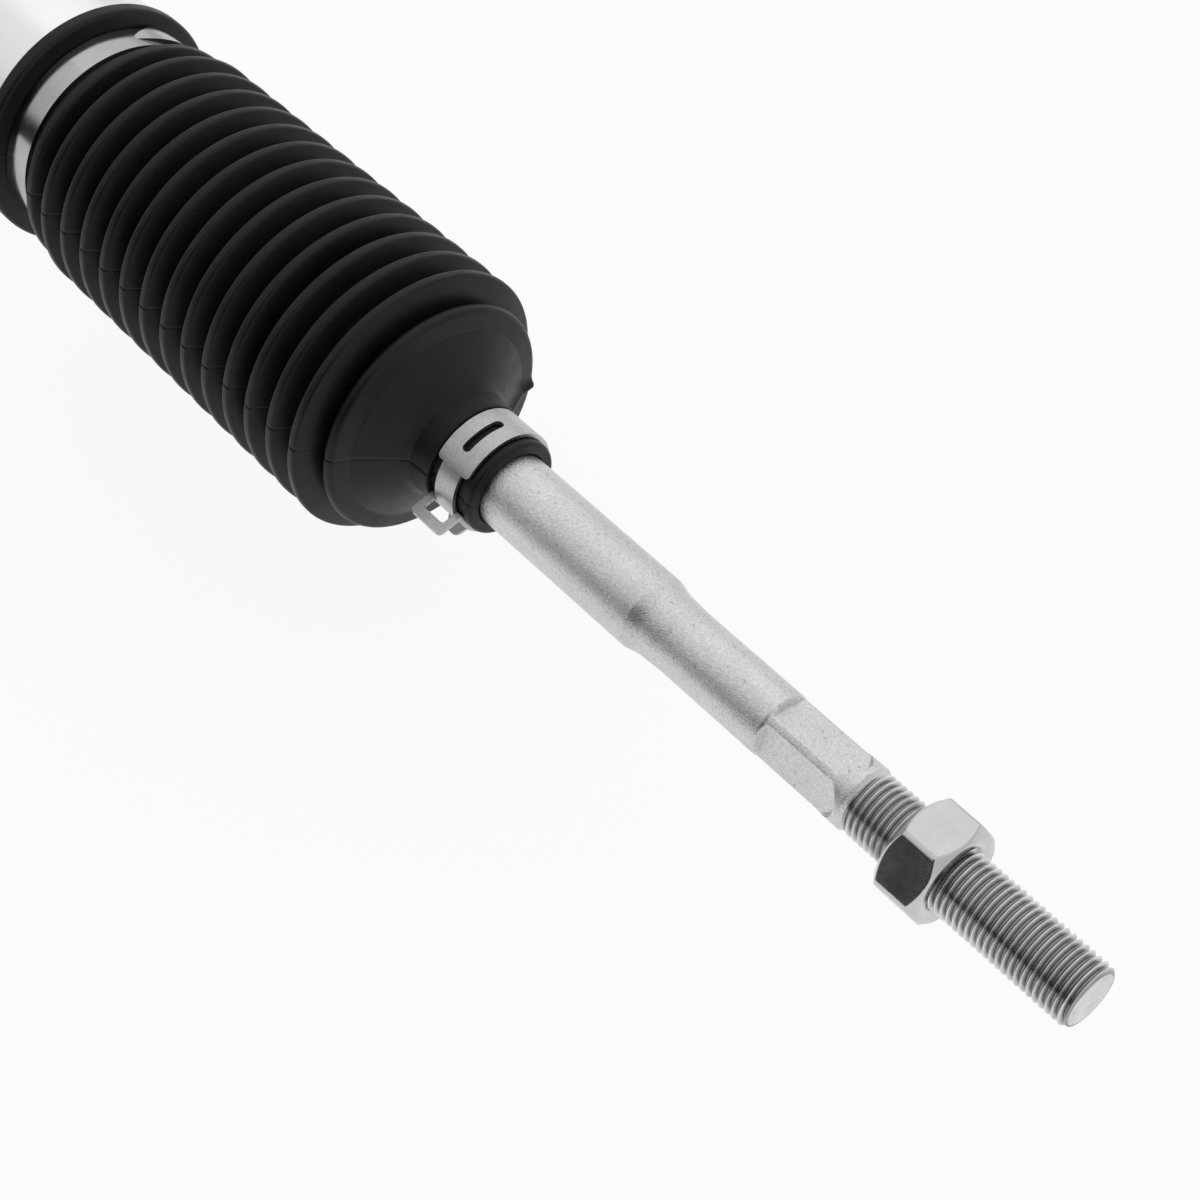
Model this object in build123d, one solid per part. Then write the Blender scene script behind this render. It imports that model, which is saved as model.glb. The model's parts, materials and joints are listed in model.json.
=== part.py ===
from build123d import *
from math import acos, atan2, cos, degrees, pi, radians, sin, sqrt, tan
import os

os.makedirs("parts", exist_ok=True)

# Frame: +X along the rack, +Z up, origin midway between the two mounting eyes, millimetres.

# Clearances
FIT_GAP = 0.03
RUN_GAP = 0.04
SOFT_GAP = 0.3
STOP_GAP = 0.6

# Rack travel and gearing
TRAVEL = 56.0
MODULE = 2.0
PINION_TEETH = 8
PRESSURE_ANGLE = 20.0
PROFILE_SHIFT = 0.5
BACKLASH = 0.16
TIP_HEIGHT = 1.4
RACK_TIP_HEIGHT = 1.8
ROOT_GAP = 0.4
TOWER_TILT = 12.0

# Rack bar
RACK_R = 12.0
RACK_BORE_R = 7.4
RACK_BORE_DEPTH = 24.0
RACK_EXTRA_TEETH = 2

# Ball joint at each rack end
BALL_REACH = 66.0
BALL_R = 13.0
BALL_RUN_GAP = 0.05
SEAT_WALL = 2.4
SEAT_HALF_ANGLE = 34.0
SOCKET_R = 18.0
SOCKET_BACK = 30.0
SOCKET_FRONT = 14.0
SOCKET_MOUTH_ANGLE = 56.0
SOCKET_MOUTH_R = 14.6
SOCKET_NOSE_R = 16.2
SOCKET_FLAT = 32.0
SOCKET_FLAT_LENGTH = 10.0
SOCKET_STUD_LENGTH = 20.0
WASHER_THICK = 2.0
WASHER_R = 16.0
WASHER_TAB = 5.0

# Tie rod, stations measured outboard of the ball centre
NECK_R = 6.0
NECK_END = 17.0
SHANK_R = 8.45
SHANK_START = 28.0
SHANK_END = 109.3
BAR_R = 7.28
BAR_START = 117.6
FLAT_ACROSS = 11.0
FLAT_START = 146.0
FLAT_END = 165.6
FLAT_REAR_ROUND = 2.0
FLAT_FRONT_ROUND = 5.0
FLAT_TURN = -13.5
BAR_END = 167.4
THREAD_R = 7.0
THREAD_START = 168.5
THREAD_END = 224.0
THREAD_CHAMFER = 0.8
THREAD_PITCH_R = 6.51
THREAD_MARGIN = 0.5
NUT_START = 180.0
NUT_THICK = 9.4
NUT_ACROSS = 21.0
NUT_CHAMFER_ANGLE = 28.0
NUT_FACE_SHARE = 0.95
NUT_LEAD = 0.9
NUT_TURN = 25.4

# Housing tube, ends and bores
RACK_Z = 40.0
HOUSING_END = 285.0
TUBE_R = 21.0
TUBE_BORE_R = 14.0
SPIGOT_R = 23.7
SPIGOT_BORE_R = 19.5
SPIGOT_LENGTH = 16.5
COLLAR_R = 28.4
COLLAR_LENGTH = 52.0
COLLAR_TAPER = 18.0
PINION_COLLAR_LENGTH = 14.0
CAST_ROUND = 4.0
EDGE_ROUND = 1.5
GROOVE_DEPTH = 0.8
BUSH_WALL = 3.4
BUSH_LENGTH = 20.0
RING_THICK = 1.8
RING_DEPTH = 1.2
RING_SLOT = 12.0
RIB_THICK = 5.0
RIB_HEIGHT = 5.0
GUSSET_THICK = 7.0
GUSSET_REACH = 44.0
GUSSET_DROP = 10.0

# Mounting eyes, bolts along Y
EYE_SPAN = 320.0
EYE_R = 20.0
EYE_BORE_R = 15.0
EYE_LENGTH = 46.0
EYE_WEB = 26.0
EYE_POCKET = 5.0
EYE_FOOT = 30.0
SLEEVE_R = 8.5
SLEEVE_BORE_R = 5.25
SLEEVE_LENGTH = 52.0
RUBBER_FLANGE_R = 17.5
RUBBER_FLANGE = 1.6

# Pinion tower, stations along the pinion axis from the rack axis height
PINION_INSET = 67.0
TOWER_R = 25.0
TOWER_TOP = 37.0
TOWER_BOTTOM = -36.0
CHAMBER_R = 13.0
CHAMBER_BOTTOM = -17.0
GEAR_HALF = 14.0
LOWER_JOURNAL_R = 6.0
LOWER_SEAT_R = 9.5
LOWER_JOURNAL_END = -31.0
END_PLUG_R = 11.0
END_PLUG_THICK = 3.0
SHAFT_R = 8.5
SHOULDER_R = 10.6
BEARING_START = 20.0
BEARING_WIDTH = 12.0
BEARING_R = 20.0
RACE_WALL = 2.8
BALL_BEARING_R = 3.0
BALL_COUNT = 9
CAP_R = 21.0
CAP_FLANGE_R = 23.5
CAP_FLANGE = 4.5
CAP_BORE_R = 14.0
CAP_SLOTS = 6
SEAL_DEPTH = 6.0
SPLINE_R = 8.0
SPLINE_START = 56.0
SHAFT_TOP = 84.0
PINCH_GROOVE_R = 4.5
PINCH_GROOVE_X = 10.6
COVER_R = 22.0
COVER_WALL = 2.0
COVER_HEIGHT = 7.0

# Rack support yoke, stations along +Y from the rack axis
YOKE_R = 17.0
YOKE_START = 3.5
YOKE_END = 27.0
LINER_WALL = 1.0
YOKE_RING_R = 1.5
YOKE_RING_Y = 23.0
YOKE_BOSS_R = 24.0
YOKE_BOSS_END = 44.0
SPRING_R = 6.6
SPRING_WIRE_R = 1.3
SPRING_START = 19.0
SPRING_TURNS = 3.5
PLUG_START = 30.0
PLUG_R = 17.5
PLUG_END = 54.0
PLUG_SOCKET_ACROSS = 17.0
PLUG_SOCKET_DEPTH = 9.0
LOCKNUT_ACROSS = 46.0
LOCKNUT_THICK = 7.0

# Boot, stations measured outboard of the housing end
BOOT_WALL = 2.3
SKIRT_R = 29.9
SKIRT_LENGTH = 3.4
SKIRT_REAR = -17.4
BAND_START = -12.6
BAND_WIDTH = 7.4
BAND_THICK = 0.8
BAND_EAR_LENGTH = 19.0
BAND_EAR_HEIGHT = 1.3
BAND_EAR_SHARE = 0.85
BAND_EAR_TURN = -42.0
FIRST_CREST = 0.7
CREST_PITCH = 7.61
CREST_COUNT = 14
FIRST_CREST_R = 28.9
SECOND_CREST_R = 30.3
LAST_CREST_R = 31.5
CREST_HALF = 1.5
CREST_ROUND = 1.3
VALLEY_DEPTH = 6.0
VALLEY_ROUND = 0.8
DOME_X = 106.4
DOME_R = 27.6
DOME_ROUND = 2.0
DOME_VALLEY = 3.0
DOME_LINE_X = 108.2
DOME_LINE_R = 22.8
DOME_FOOT_X = 111.0
DOME_FOOT_R = 13.0
NECK_X = 115.2
NECK_BEAD_R = 11.7
NECK_ROUND = 1.0
BOOT_NECK_R = 10.9
LIP_X = 132.4
LIP_R = 11.6
LIP_WIDTH = 1.9

# Spring clamp on the boot's neck, angles about the rod from +Y towards +Z
CLAMP_START = 120.7
CLAMP_WIDTH = 9.3
CLAMP_THICK = 0.9
CLAMP_STRIP_WIDTH = 5.6
CLAMP_STRIP_GAP = 0.25
CLAMP_SLOT_WIDTH = 2.1
CLAMP_SLOT_START = 71.0
CLAMP_SLOT_END = 120.5
CLAMP_SHOULDER = 141.0
CLAMP_LOOP_ANGLE = 191.0
CLAMP_TONGUE_ANGLE = 227.5
CLAMP_FORK_END = 250.0
CLAMP_LOOP_R = 17.6
CLAMP_WINDOW_R = 15.2
CLAMP_TONGUE_R = 15.6
CLAMP_EAR_ROUND = 1.2
CLAMP_CORNER = 0.95

# Values worked out from the sizes above
ALPHA = radians(PRESSURE_ANGLE)
PITCH_R = MODULE * PINION_TEETH / 2
BASE_R = PITCH_R * cos(ALPHA)
REF_DISTANCE = PITCH_R + PROFILE_SHIFT * MODULE
GEAR_TIP_R = REF_DISTANCE + TIP_HEIGHT
GEAR_ROOT_R = REF_DISTANCE - RACK_TIP_HEIGHT - ROOT_GAP
RACK_TIP_Y = REF_DISTANCE - RACK_TIP_HEIGHT
RACK_ROOT_Y = REF_DISTANCE + TIP_HEIGHT + ROOT_GAP
TOOTH_HALF = (pi / 4 + PROFILE_SHIFT * tan(ALPHA)) * MODULE
RACK_FLAT_Y = 8.2
PINION_Y = -(RACK_FLAT_Y + RACK_TIP_Y)
TOOTH_PITCH_X = pi * MODULE / cos(radians(TOWER_TILT))
CAVITY_R = BALL_R + SEAT_WALL + 2 * BALL_RUN_GAP
BALL_X = HOUSING_END + BALL_REACH
PINION_X = PINION_INSET - HOUSING_END
SOCKET_REAR_X = BALL_X - SOCKET_BACK
RACK_END_X = SOCKET_REAR_X - WASHER_THICK
STOP_X = RACK_END_X - TRAVEL - STOP_GAP
BUSH_R = RACK_R + BUSH_WALL
BUSH_START = STOP_X - RING_THICK - BUSH_LENGTH - STOP_GAP
SPIGOT_GROOVE_R = SPIGOT_R - GROOVE_DEPTH
BAND_SEAT_R = SPIGOT_GROOVE_R + BOOT_WALL
BEARING_END = BEARING_START + BEARING_WIDTH
BEARING_PITCH_R = (BEARING_R + SHAFT_R) / 2
NUT_END = NUT_START + NUT_THICK
CLAMP_INNER_R = BOOT_NECK_R + SOFT_GAP
CLAMP_OUTER_R = CLAMP_INNER_R + CLAMP_THICK
CLAMP_ROOT_R = CLAMP_INNER_R + CLAMP_THICK / 3
CLAMP_MIDDLE_X = HOUSING_END + CLAMP_START + CLAMP_WIDTH / 2
RACK_CENTRE = Pos(0, 0, RACK_Z)
TOWER = Pos(PINION_X, PINION_Y, RACK_Z) * Rot(0, TOWER_TILT, 0)
YOKE_AXIS = Pos(PINION_X, 0, RACK_Z) * Rot(-90, 0, 0)


def outline(corners):
    """Closed face from corners (x, y) or (x, y, radius), rounded as far as the sides leave room."""
    arcs = []
    count = len(corners)
    for i, corner in enumerate(corners):
        here = Vector(*corner[:2])
        if len(corner) == 2:
            arcs.append((here, None, here))
            continue
        back = (Vector(*corners[i - 1][:2]) - here)
        ahead = (Vector(*corners[(i + 1) % count][:2]) - here)
        half = radians(back.get_angle(ahead)) / 2
        reach = min(corner[2] / tan(half), 0.45 * back.length, 0.45 * ahead.length)
        radius = reach * tan(half)
        middle = (back.normalized() + ahead.normalized()).normalized()
        arcs.append((here + back.normalized() * reach, here + middle * (radius / sin(half) - radius),
                     here + ahead.normalized() * reach))
    edges = []
    for i, (start, middle, end) in enumerate(arcs):
        if middle is not None:
            edges.append(ThreePointArc(start, middle, end))
        edges.append(Line(end, arcs[(i + 1) % count][0]))
    return make_face(edges)


def turned(corners):
    """Solid of revolution about the rack axis from (x, radius) corners."""
    return RACK_CENTRE * revolve(outline(corners), Axis.X)


def spun(corners):
    """Solid of revolution about local Z from (radius, z) corners."""
    return revolve(Plane.XZ * outline(corners), Axis.Z)


def bar_x(radius, start, end):
    """Cylinder about the rack axis."""
    return turned([(start, 0), (end, 0), (end, radius), (start, radius)])


def ring_z(outer, inner, start, end):
    """Ring about local Z."""
    return spun([(inner, start), (outer, start), (outer, end), (inner, end)])


def rod_z(radius, start, end):
    """Cylinder about local Z."""
    return Pos(0, 0, (start + end) / 2) * Cylinder(radius, end - start)


def hexagon_prism(across, length):
    """Hexagonal prism about Z, base at zero, corners chamfered at both ends."""
    corner = across / sqrt(3)
    face_r = NUT_FACE_SHARE * across / 2
    drop = min((corner - face_r) * tan(radians(NUT_CHAMFER_ANGLE)), length / 4)
    prism = extrude(RegularPolygon(corner, 6), length)
    envelope = [(0, 0), (face_r, 0), (corner, drop), (corner, length - drop), (face_r, length), (0, length)]
    return prism & spun(envelope)


def arc_points(radius, start, end, count):
    """Points on a circle about the origin, angles in degrees from +X."""
    angles = [radians(start + i * (end - start) / count) for i in range(count + 1)]
    return [(radius * cos(a), radius * sin(a)) for a in angles]


# Housing


def eye_blank(side):
    """Mounting eye with its pocketed web up to the tube."""
    x = side * EYE_SPAN / 2
    half = EYE_LENGTH / 2
    rim = [(0, -half), (EYE_R, -half, EDGE_ROUND), (EYE_R, half, EDGE_ROUND), (0, half)]
    barrel = Pos(x, 0, 0) * Rot(90, 0, 0) * spun(rim)
    web = outline([(x - EYE_R, 0), (x + EYE_R, 0), (x + EYE_FOOT, RACK_Z), (x - EYE_FOOT, RACK_Z)])
    pocket_top = RACK_Z - TUBE_R
    pocket = outline([(x - EYE_R, EYE_R, CAST_ROUND), (x + EYE_R, EYE_R, CAST_ROUND),
                      (x + EYE_R, pocket_top, CAST_ROUND), (x - EYE_R, pocket_top, CAST_ROUND)])
    blank = barrel + extrude(Plane.XZ * web, EYE_WEB / 2, both=True)
    for face in (-1, 1):
        blank -= Pos(0, face * EYE_WEB / 2, 0) * extrude(Plane.XZ * pocket, EYE_POCKET, both=True)
    return blank + barrel


def end_blank(side, collar):
    """Large collar and boot spigot at one end, side is +1 or -1."""
    shoulder = HOUSING_END - SPIGOT_LENGTH
    groove_start = HOUSING_END + BAND_START - SOFT_GAP
    groove_end = groove_start + BAND_WIDTH + 2 * SOFT_GAP
    points = [
        (shoulder - collar - COLLAR_TAPER, 0),
        (HOUSING_END, 0),
        (HOUSING_END, SPIGOT_R - 1),
        (HOUSING_END - 1, SPIGOT_R),
        (groove_end + GROOVE_DEPTH, SPIGOT_R),
        (groove_end, SPIGOT_GROOVE_R),
        (groove_start, SPIGOT_GROOVE_R),
        (groove_start - GROOVE_DEPTH, SPIGOT_R),
        (shoulder, SPIGOT_R),
        (shoulder, COLLAR_R, EDGE_ROUND),
        (shoulder - collar, COLLAR_R, 2 * CAST_ROUND),
        (shoulder - collar - COLLAR_TAPER, TUBE_R),
    ]
    return turned([(side * corner[0],) + corner[1:] for corner in points])


def tower_blank():
    """Pinion tower: stepped barrel with a machined rim."""
    foot_r = END_PLUG_R + 5
    waist_r = TOWER_R - 4
    profile = [
        (0, TOWER_BOTTOM),
        (foot_r, TOWER_BOTTOM, EDGE_ROUND),
        (foot_r, CHAMBER_BOTTOM - 5, CAST_ROUND),
        (waist_r, CHAMBER_BOTTOM + 3, CAST_ROUND),
        (waist_r, BEARING_START - 10, CAST_ROUND),
        (TOWER_R, BEARING_START - 4, CAST_ROUND),
        (TOWER_R, TOWER_TOP, EDGE_ROUND),
        (0, TOWER_TOP),
    ]
    return TOWER * spun(profile)


def housing_ribs():
    """Casting ribs: one under the tube, one behind it, and a gusset from the tower to the tube."""
    reach = EYE_SPAN
    low = Pos(0, 0, RACK_Z - TUBE_R) * Box(reach, RIB_THICK, 2 * RIB_HEIGHT)
    back = Pos(0, TUBE_R, RACK_Z) * Box(reach, 2 * RIB_HEIGHT, RIB_THICK)
    top = TOWER_TOP - GUSSET_DROP
    foot = TUBE_R + GUSSET_REACH
    low_edge = -TUBE_R / 2
    corners = [(0, low_edge), (foot, low_edge), (foot, TUBE_R - 4), (TUBE_R + 4, top, CAST_ROUND), (0, top)]
    gusset = outline(corners)
    web = extrude(Plane.XZ * gusset, GUSSET_THICK / 2, both=True)
    return low + back + Pos(PINION_X, PINION_Y / 2, RACK_Z) * web


def housing_bores():
    """Everything machined out of the casting."""
    main = bar_x(TUBE_BORE_R, -HOUSING_END - 1, HOUSING_END + 1)
    ends = bar_x(SPIGOT_BORE_R, STOP_X, HOUSING_END + 1) + bar_x(SPIGOT_BORE_R, -HOUSING_END - 1, -STOP_X)
    bush_seat = bar_x(BUSH_R + FIT_GAP, BUSH_START, STOP_X)
    ring_end = STOP_X - STOP_GAP / 2
    ring_seat = bar_x(BUSH_R + RING_DEPTH, ring_end - RING_THICK - FIT_GAP, ring_end + FIT_GAP)
    chamber = rod_z(CHAMBER_R, CHAMBER_BOTTOM, BEARING_START + 1)
    lower = rod_z(LOWER_SEAT_R + FIT_GAP, TOWER_BOTTOM, CHAMBER_BOTTOM + 1)
    plug_seat = rod_z(END_PLUG_R + FIT_GAP, TOWER_BOTTOM - 1, TOWER_BOTTOM + END_PLUG_THICK)
    upper = rod_z(BEARING_R + FIT_GAP, BEARING_START, TOWER_TOP)
    thread = rod_z(CAP_R + FIT_GAP, BEARING_END, TOWER_TOP + 1)
    tower = TOWER * (chamber + lower + plug_seat + upper + thread)
    yoke_bore = rod_z(YOKE_R + RUN_GAP, 0, PLUG_START)
    plug_bore = rod_z(PLUG_R + FIT_GAP, PLUG_START - 1, YOKE_BOSS_END + 1)
    eye_bore = Rot(90, 0, 0) * Cylinder(EYE_BORE_R + FIT_GAP, EYE_LENGTH + 2)
    eyes = [Pos(s * EYE_SPAN / 2, 0, 0) * eye_bore for s in (-1, 1)]
    return [main, ends, bush_seat, ring_seat, tower, YOKE_AXIS * (yoke_bore + plug_bore)] + eyes


def housing():
    """One-piece aluminium casting."""
    body = bar_x(TUBE_R, -HOUSING_END + SPIGOT_LENGTH, HOUSING_END - SPIGOT_LENGTH)
    body += end_blank(1, COLLAR_LENGTH)
    body += end_blank(-1, PINION_COLLAR_LENGTH)
    body += tower_blank()
    boss = [(0, 0), (YOKE_BOSS_R, 0), (YOKE_BOSS_R, YOKE_BOSS_END, EDGE_ROUND), (0, YOKE_BOSS_END)]
    body += YOKE_AXIS * spun(boss)
    body += eye_blank(1)
    body += eye_blank(-1)
    body += housing_ribs()
    for tool in housing_bores():
        body -= tool
    return body


def eye_rubbers():
    """Bonded rubber bush in each eye, flanged at both faces."""
    half = EYE_LENGTH / 2
    inner = SLEEVE_R + FIT_GAP
    flange_end = half + RUBBER_FLANGE
    rim = RUBBER_FLANGE / 3
    flange_r = RUBBER_FLANGE_R
    profile = [
        (inner, -flange_end),
        (flange_r, -flange_end, rim),
        (flange_r, -half),
        (EYE_BORE_R, -half),
        (EYE_BORE_R, half),
        (flange_r, half),
        (flange_r, flange_end, rim),
        (inner, flange_end),
    ]
    return [Pos(s * EYE_SPAN / 2, 0, 0) * Rot(90, 0, 0) * spun(profile) for s in (-1, 1)]


def eye_sleeves():
    """Steel sleeve in each rubber bush."""
    half = SLEEVE_LENGTH / 2
    sleeve = ring_z(SLEEVE_R, SLEEVE_BORE_R, -half, half)
    return [Pos(s * EYE_SPAN / 2, 0, 0) * Rot(90, 0, 0) * sleeve for s in (-1, 1)]


def rack_bush():
    """Plastic bush that carries the plain end of the rack."""
    inner = RACK_R + RUN_GAP
    end = BUSH_START + BUSH_LENGTH
    return turned([(BUSH_START, inner + 0.6), (BUSH_START + 1, inner), (end - 1, inner), (end, inner + 0.6),
                   (end, BUSH_R), (BUSH_START, BUSH_R)])


def rack_bush_ring():
    """Open snap ring that holds the bush."""
    end = STOP_X - STOP_GAP / 2
    start = end - RING_THICK
    inner = RACK_R + 1.2
    outer = BUSH_R + RING_DEPTH - FIT_GAP
    ring = turned([(start, inner), (end, inner), (end, outer), (start, outer)])
    return ring - Pos((start + end) / 2, 0, RACK_Z + outer) * Box(RING_THICK + 2, RING_SLOT, outer)


# Rack


def rack_gap():
    """Space between two rack teeth, in the pinion's own frame, along the pinion axis."""
    half = pi * MODULE / 4 + BACKLASH / 4
    slope = tan(ALPHA)
    low = RACK_TIP_Y - 1
    wide = half + (REF_DISTANCE - low) * slope
    narrow = half - (RACK_ROOT_Y - REF_DISTANCE) * slope
    face = Polygon((-wide, low), (wide, low), (narrow, RACK_ROOT_Y), (-narrow, RACK_ROOT_Y), align=None)
    return extrude(face, 2 * RACK_R, both=True)


def rack():
    """Round bar with teeth on its front face and a threaded bore in each end."""
    edge = 1.5
    end = RACK_END_X
    body = turned([(-end, 0), (end, 0), (end, RACK_R - edge), (end - edge, RACK_R), (edge - end, RACK_R),
                   (-end, RACK_R - edge)])
    reach = int(TRAVEL / TOOTH_PITCH_X + RACK_EXTRA_TEETH)
    flat_length = (2 * reach + 1.4) * TOOTH_PITCH_X + 2 * RACK_R * tan(radians(TOWER_TILT))
    body -= Pos(PINION_X, -RACK_FLAT_Y - RACK_R, RACK_Z) * Box(flat_length, 2 * RACK_R, 4 * RACK_R)
    gap = TOWER * rack_gap()
    for i in range(-reach, reach + 1):
        body -= Pos(i * TOOTH_PITCH_X, 0, 0) * gap
    bore = bar_x(RACK_BORE_R + FIT_GAP, RACK_END_X - RACK_BORE_DEPTH, RACK_END_X)
    return body - bore - mirror(bore, Plane.YZ)


def lock_washer():
    """Tab washer between rack end and socket, its tabs bent over the socket's flats."""
    hole_r = RACK_BORE_R + FIT_GAP
    disc = bar_x(WASHER_R, RACK_END_X, SOCKET_REAR_X) - bar_x(hole_r, RACK_END_X - 1, SOCKET_REAR_X + 1)
    lift = SOCKET_FLAT / 2 + FIT_GAP
    tab = Pos((RACK_END_X + SOCKET_REAR_X + WASHER_TAB) / 2, 0, RACK_Z + lift + 0.6)
    leg = Pos((RACK_END_X + SOCKET_REAR_X) / 2, 0, RACK_Z + (lift + WASHER_R) / 2 - 0.5)
    disc += tab * Box(WASHER_THICK + WASHER_TAB, 8, 1.2)
    disc += leg * Box(WASHER_THICK, 8, lift - WASHER_R + 3)
    return disc


def socket():
    """Ball housing screwed into the rack end, its nose rolled in over the seat."""
    mouth = radians(SOCKET_MOUTH_ANGLE)
    mouth_x = BALL_X + CAVITY_R * cos(mouth)
    front = BALL_X + SOCKET_FRONT
    profile = [
        (SOCKET_REAR_X - SOCKET_STUD_LENGTH, 0),
        (SOCKET_REAR_X - SOCKET_STUD_LENGTH, RACK_BORE_R - 1),
        (SOCKET_REAR_X - SOCKET_STUD_LENGTH + 1, RACK_BORE_R),
        (SOCKET_REAR_X, RACK_BORE_R),
        (SOCKET_REAR_X, SOCKET_R - 1),
        (SOCKET_REAR_X + 1, SOCKET_R),
        (BALL_X + 4, SOCKET_R),
        (BALL_X + 9, SOCKET_R - 0.7),
        (front - 1, SOCKET_NOSE_R),
        (front, SOCKET_NOSE_R - 1),
        (front, SOCKET_MOUTH_R),
        (mouth_x, CAVITY_R * sin(mouth)),
        (mouth_x, 0),
    ]
    body = turned(profile) - Pos(BALL_X, 0, RACK_Z) * Sphere(CAVITY_R)
    side = SOCKET_FLAT / 2 + SOCKET_R
    cutter = Box(2 * SOCKET_FLAT_LENGTH, 3 * SOCKET_R, 2 * SOCKET_R)
    for s in (-1, 1):
        body -= Pos(SOCKET_REAR_X, 0, RACK_Z + s * side) * cutter
    return body


def ball_seat():
    """Plastic bearing shell between ball and socket."""
    low = 90 - SEAT_HALF_ANGLE
    high = 90 + SEAT_HALF_ANGLE
    outer_r = CAVITY_R - BALL_RUN_GAP
    inner_r = BALL_R + BALL_RUN_GAP
    outer = arc_points(outer_r, low, high, 2)
    inner = arc_points(inner_r, high, low, 2)
    edges = [
        ThreePointArc(*outer),
        Line(outer[-1], inner[0]),
        ThreePointArc(*inner),
        Line(inner[-1], outer[0]),
    ]
    return Pos(BALL_X, 0, RACK_Z) * revolve(make_face(edges), Axis.X)


# Tie rod


def tie_rod():
    """Ball stud, shank, flats and threaded end turned from one bar, the nut engaged at the pitch line."""
    margin = THREAD_MARGIN
    profile = [
        (0, 0),
        (THREAD_END, 0),
        (THREAD_END, THREAD_R - THREAD_CHAMFER),
        (THREAD_END - THREAD_CHAMFER, THREAD_R),
        (NUT_END + margin, THREAD_R),
        (NUT_END, THREAD_PITCH_R),
        (NUT_START, THREAD_PITCH_R),
        (NUT_START - margin, THREAD_R),
        (THREAD_START, THREAD_R),
        (BAR_END, BAR_R),
        (BAR_START, BAR_R, SHANK_R),
        (SHANK_END, SHANK_R, SHANK_R),
        (SHANK_START, SHANK_R, SHANK_R),
        (NECK_END, NECK_R, NECK_R),
        (0, NECK_R),
    ]
    bar = turned([(BALL_X + corner[0],) + corner[1:] for corner in profile])
    wide = FLAT_ACROSS / 2
    plan = outline([(FLAT_START, -wide, FLAT_REAR_ROUND), (FLAT_END, -wide, FLAT_FRONT_ROUND),
                    (FLAT_END, wide, FLAT_FRONT_ROUND), (FLAT_START, wide, FLAT_REAR_ROUND)])
    cutter = Pos(0, 0, FLAT_ACROSS / 2) * extrude(plan, BAR_R)
    for i in range(4):
        bar -= Pos(BALL_X, 0, RACK_Z) * Rot(FLAT_TURN + 90 * i, 0, 0) * cutter
    return bar + Pos(BALL_X, 0, RACK_Z) * Sphere(BALL_R)


def jam_nut():
    """Hexagon jam nut on the threaded end."""
    nut = hexagon_prism(NUT_ACROSS, NUT_THICK)
    hole = rod_z(THREAD_PITCH_R + FIT_GAP, -1, NUT_THICK + 1)
    wide = THREAD_R + NUT_LEAD
    lead = spun([(0, 0), (wide, 0), (wide - 2 * NUT_LEAD, 2 * NUT_LEAD), (0, 2 * NUT_LEAD)])
    lead_out = Pos(0, 0, NUT_THICK) * Rot(180, 0, 0) * lead
    place = Pos(BALL_X + NUT_START, 0, RACK_Z) * Rot(NUT_TURN, 0, 0) * Rot(0, 90, 0)
    return place * (nut - hole - lead - lead_out)


# Boot and its clamps


def crest(i):
    """Station and outer radius of one fold."""
    x = HOUSING_END + FIRST_CREST + i * CREST_PITCH
    share = (i - 1) / (CREST_COUNT - 2)
    radius = FIRST_CREST_R if i == 0 else SECOND_CREST_R + (LAST_CREST_R - SECOND_CREST_R) * share
    return x, radius


def last_valley_x():
    """Station of the wider valley between the last fold and the dome."""
    return (crest(CREST_COUNT - 1)[0] + HOUSING_END + DOME_X) / 2


def boot_outside():
    """Outer corners of the boot from skirt to lip."""
    base = HOUSING_END
    rear = base + SKIRT_REAR
    edge = SKIRT_LENGTH / 3
    seat_start = base + BAND_START - SOFT_GAP
    seat_end = seat_start + BAND_WIDTH + 2 * SOFT_GAP
    corners = [(rear, SKIRT_R, edge), (rear + SKIRT_LENGTH, SKIRT_R, edge), (seat_start, BAND_SEAT_R),
               (seat_end, BAND_SEAT_R)]
    for i in range(CREST_COUNT):
        x, r = crest(i)
        corners += [(x - CREST_HALF, r, CREST_ROUND), (x + CREST_HALF, r, CREST_ROUND)]
        if i < CREST_COUNT - 1:
            corners.append((x + CREST_PITCH / 2, r - VALLEY_DEPTH, VALLEY_ROUND))
    corners += [(last_valley_x(), DOME_R - DOME_VALLEY, VALLEY_ROUND), (base + DOME_X, DOME_R, DOME_ROUND),
                (base + DOME_LINE_X, DOME_LINE_R), (base + DOME_FOOT_X, DOME_FOOT_R, NECK_ROUND),
                (base + NECK_X - NECK_ROUND, NECK_BEAD_R), (base + NECK_X, BOOT_NECK_R)]
    lip = base + LIP_X
    corners += [(lip - LIP_WIDTH, BOOT_NECK_R), (lip - LIP_WIDTH, LIP_R, NECK_ROUND / 2),
                (lip, LIP_R, NECK_ROUND)]
    return corners


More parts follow.
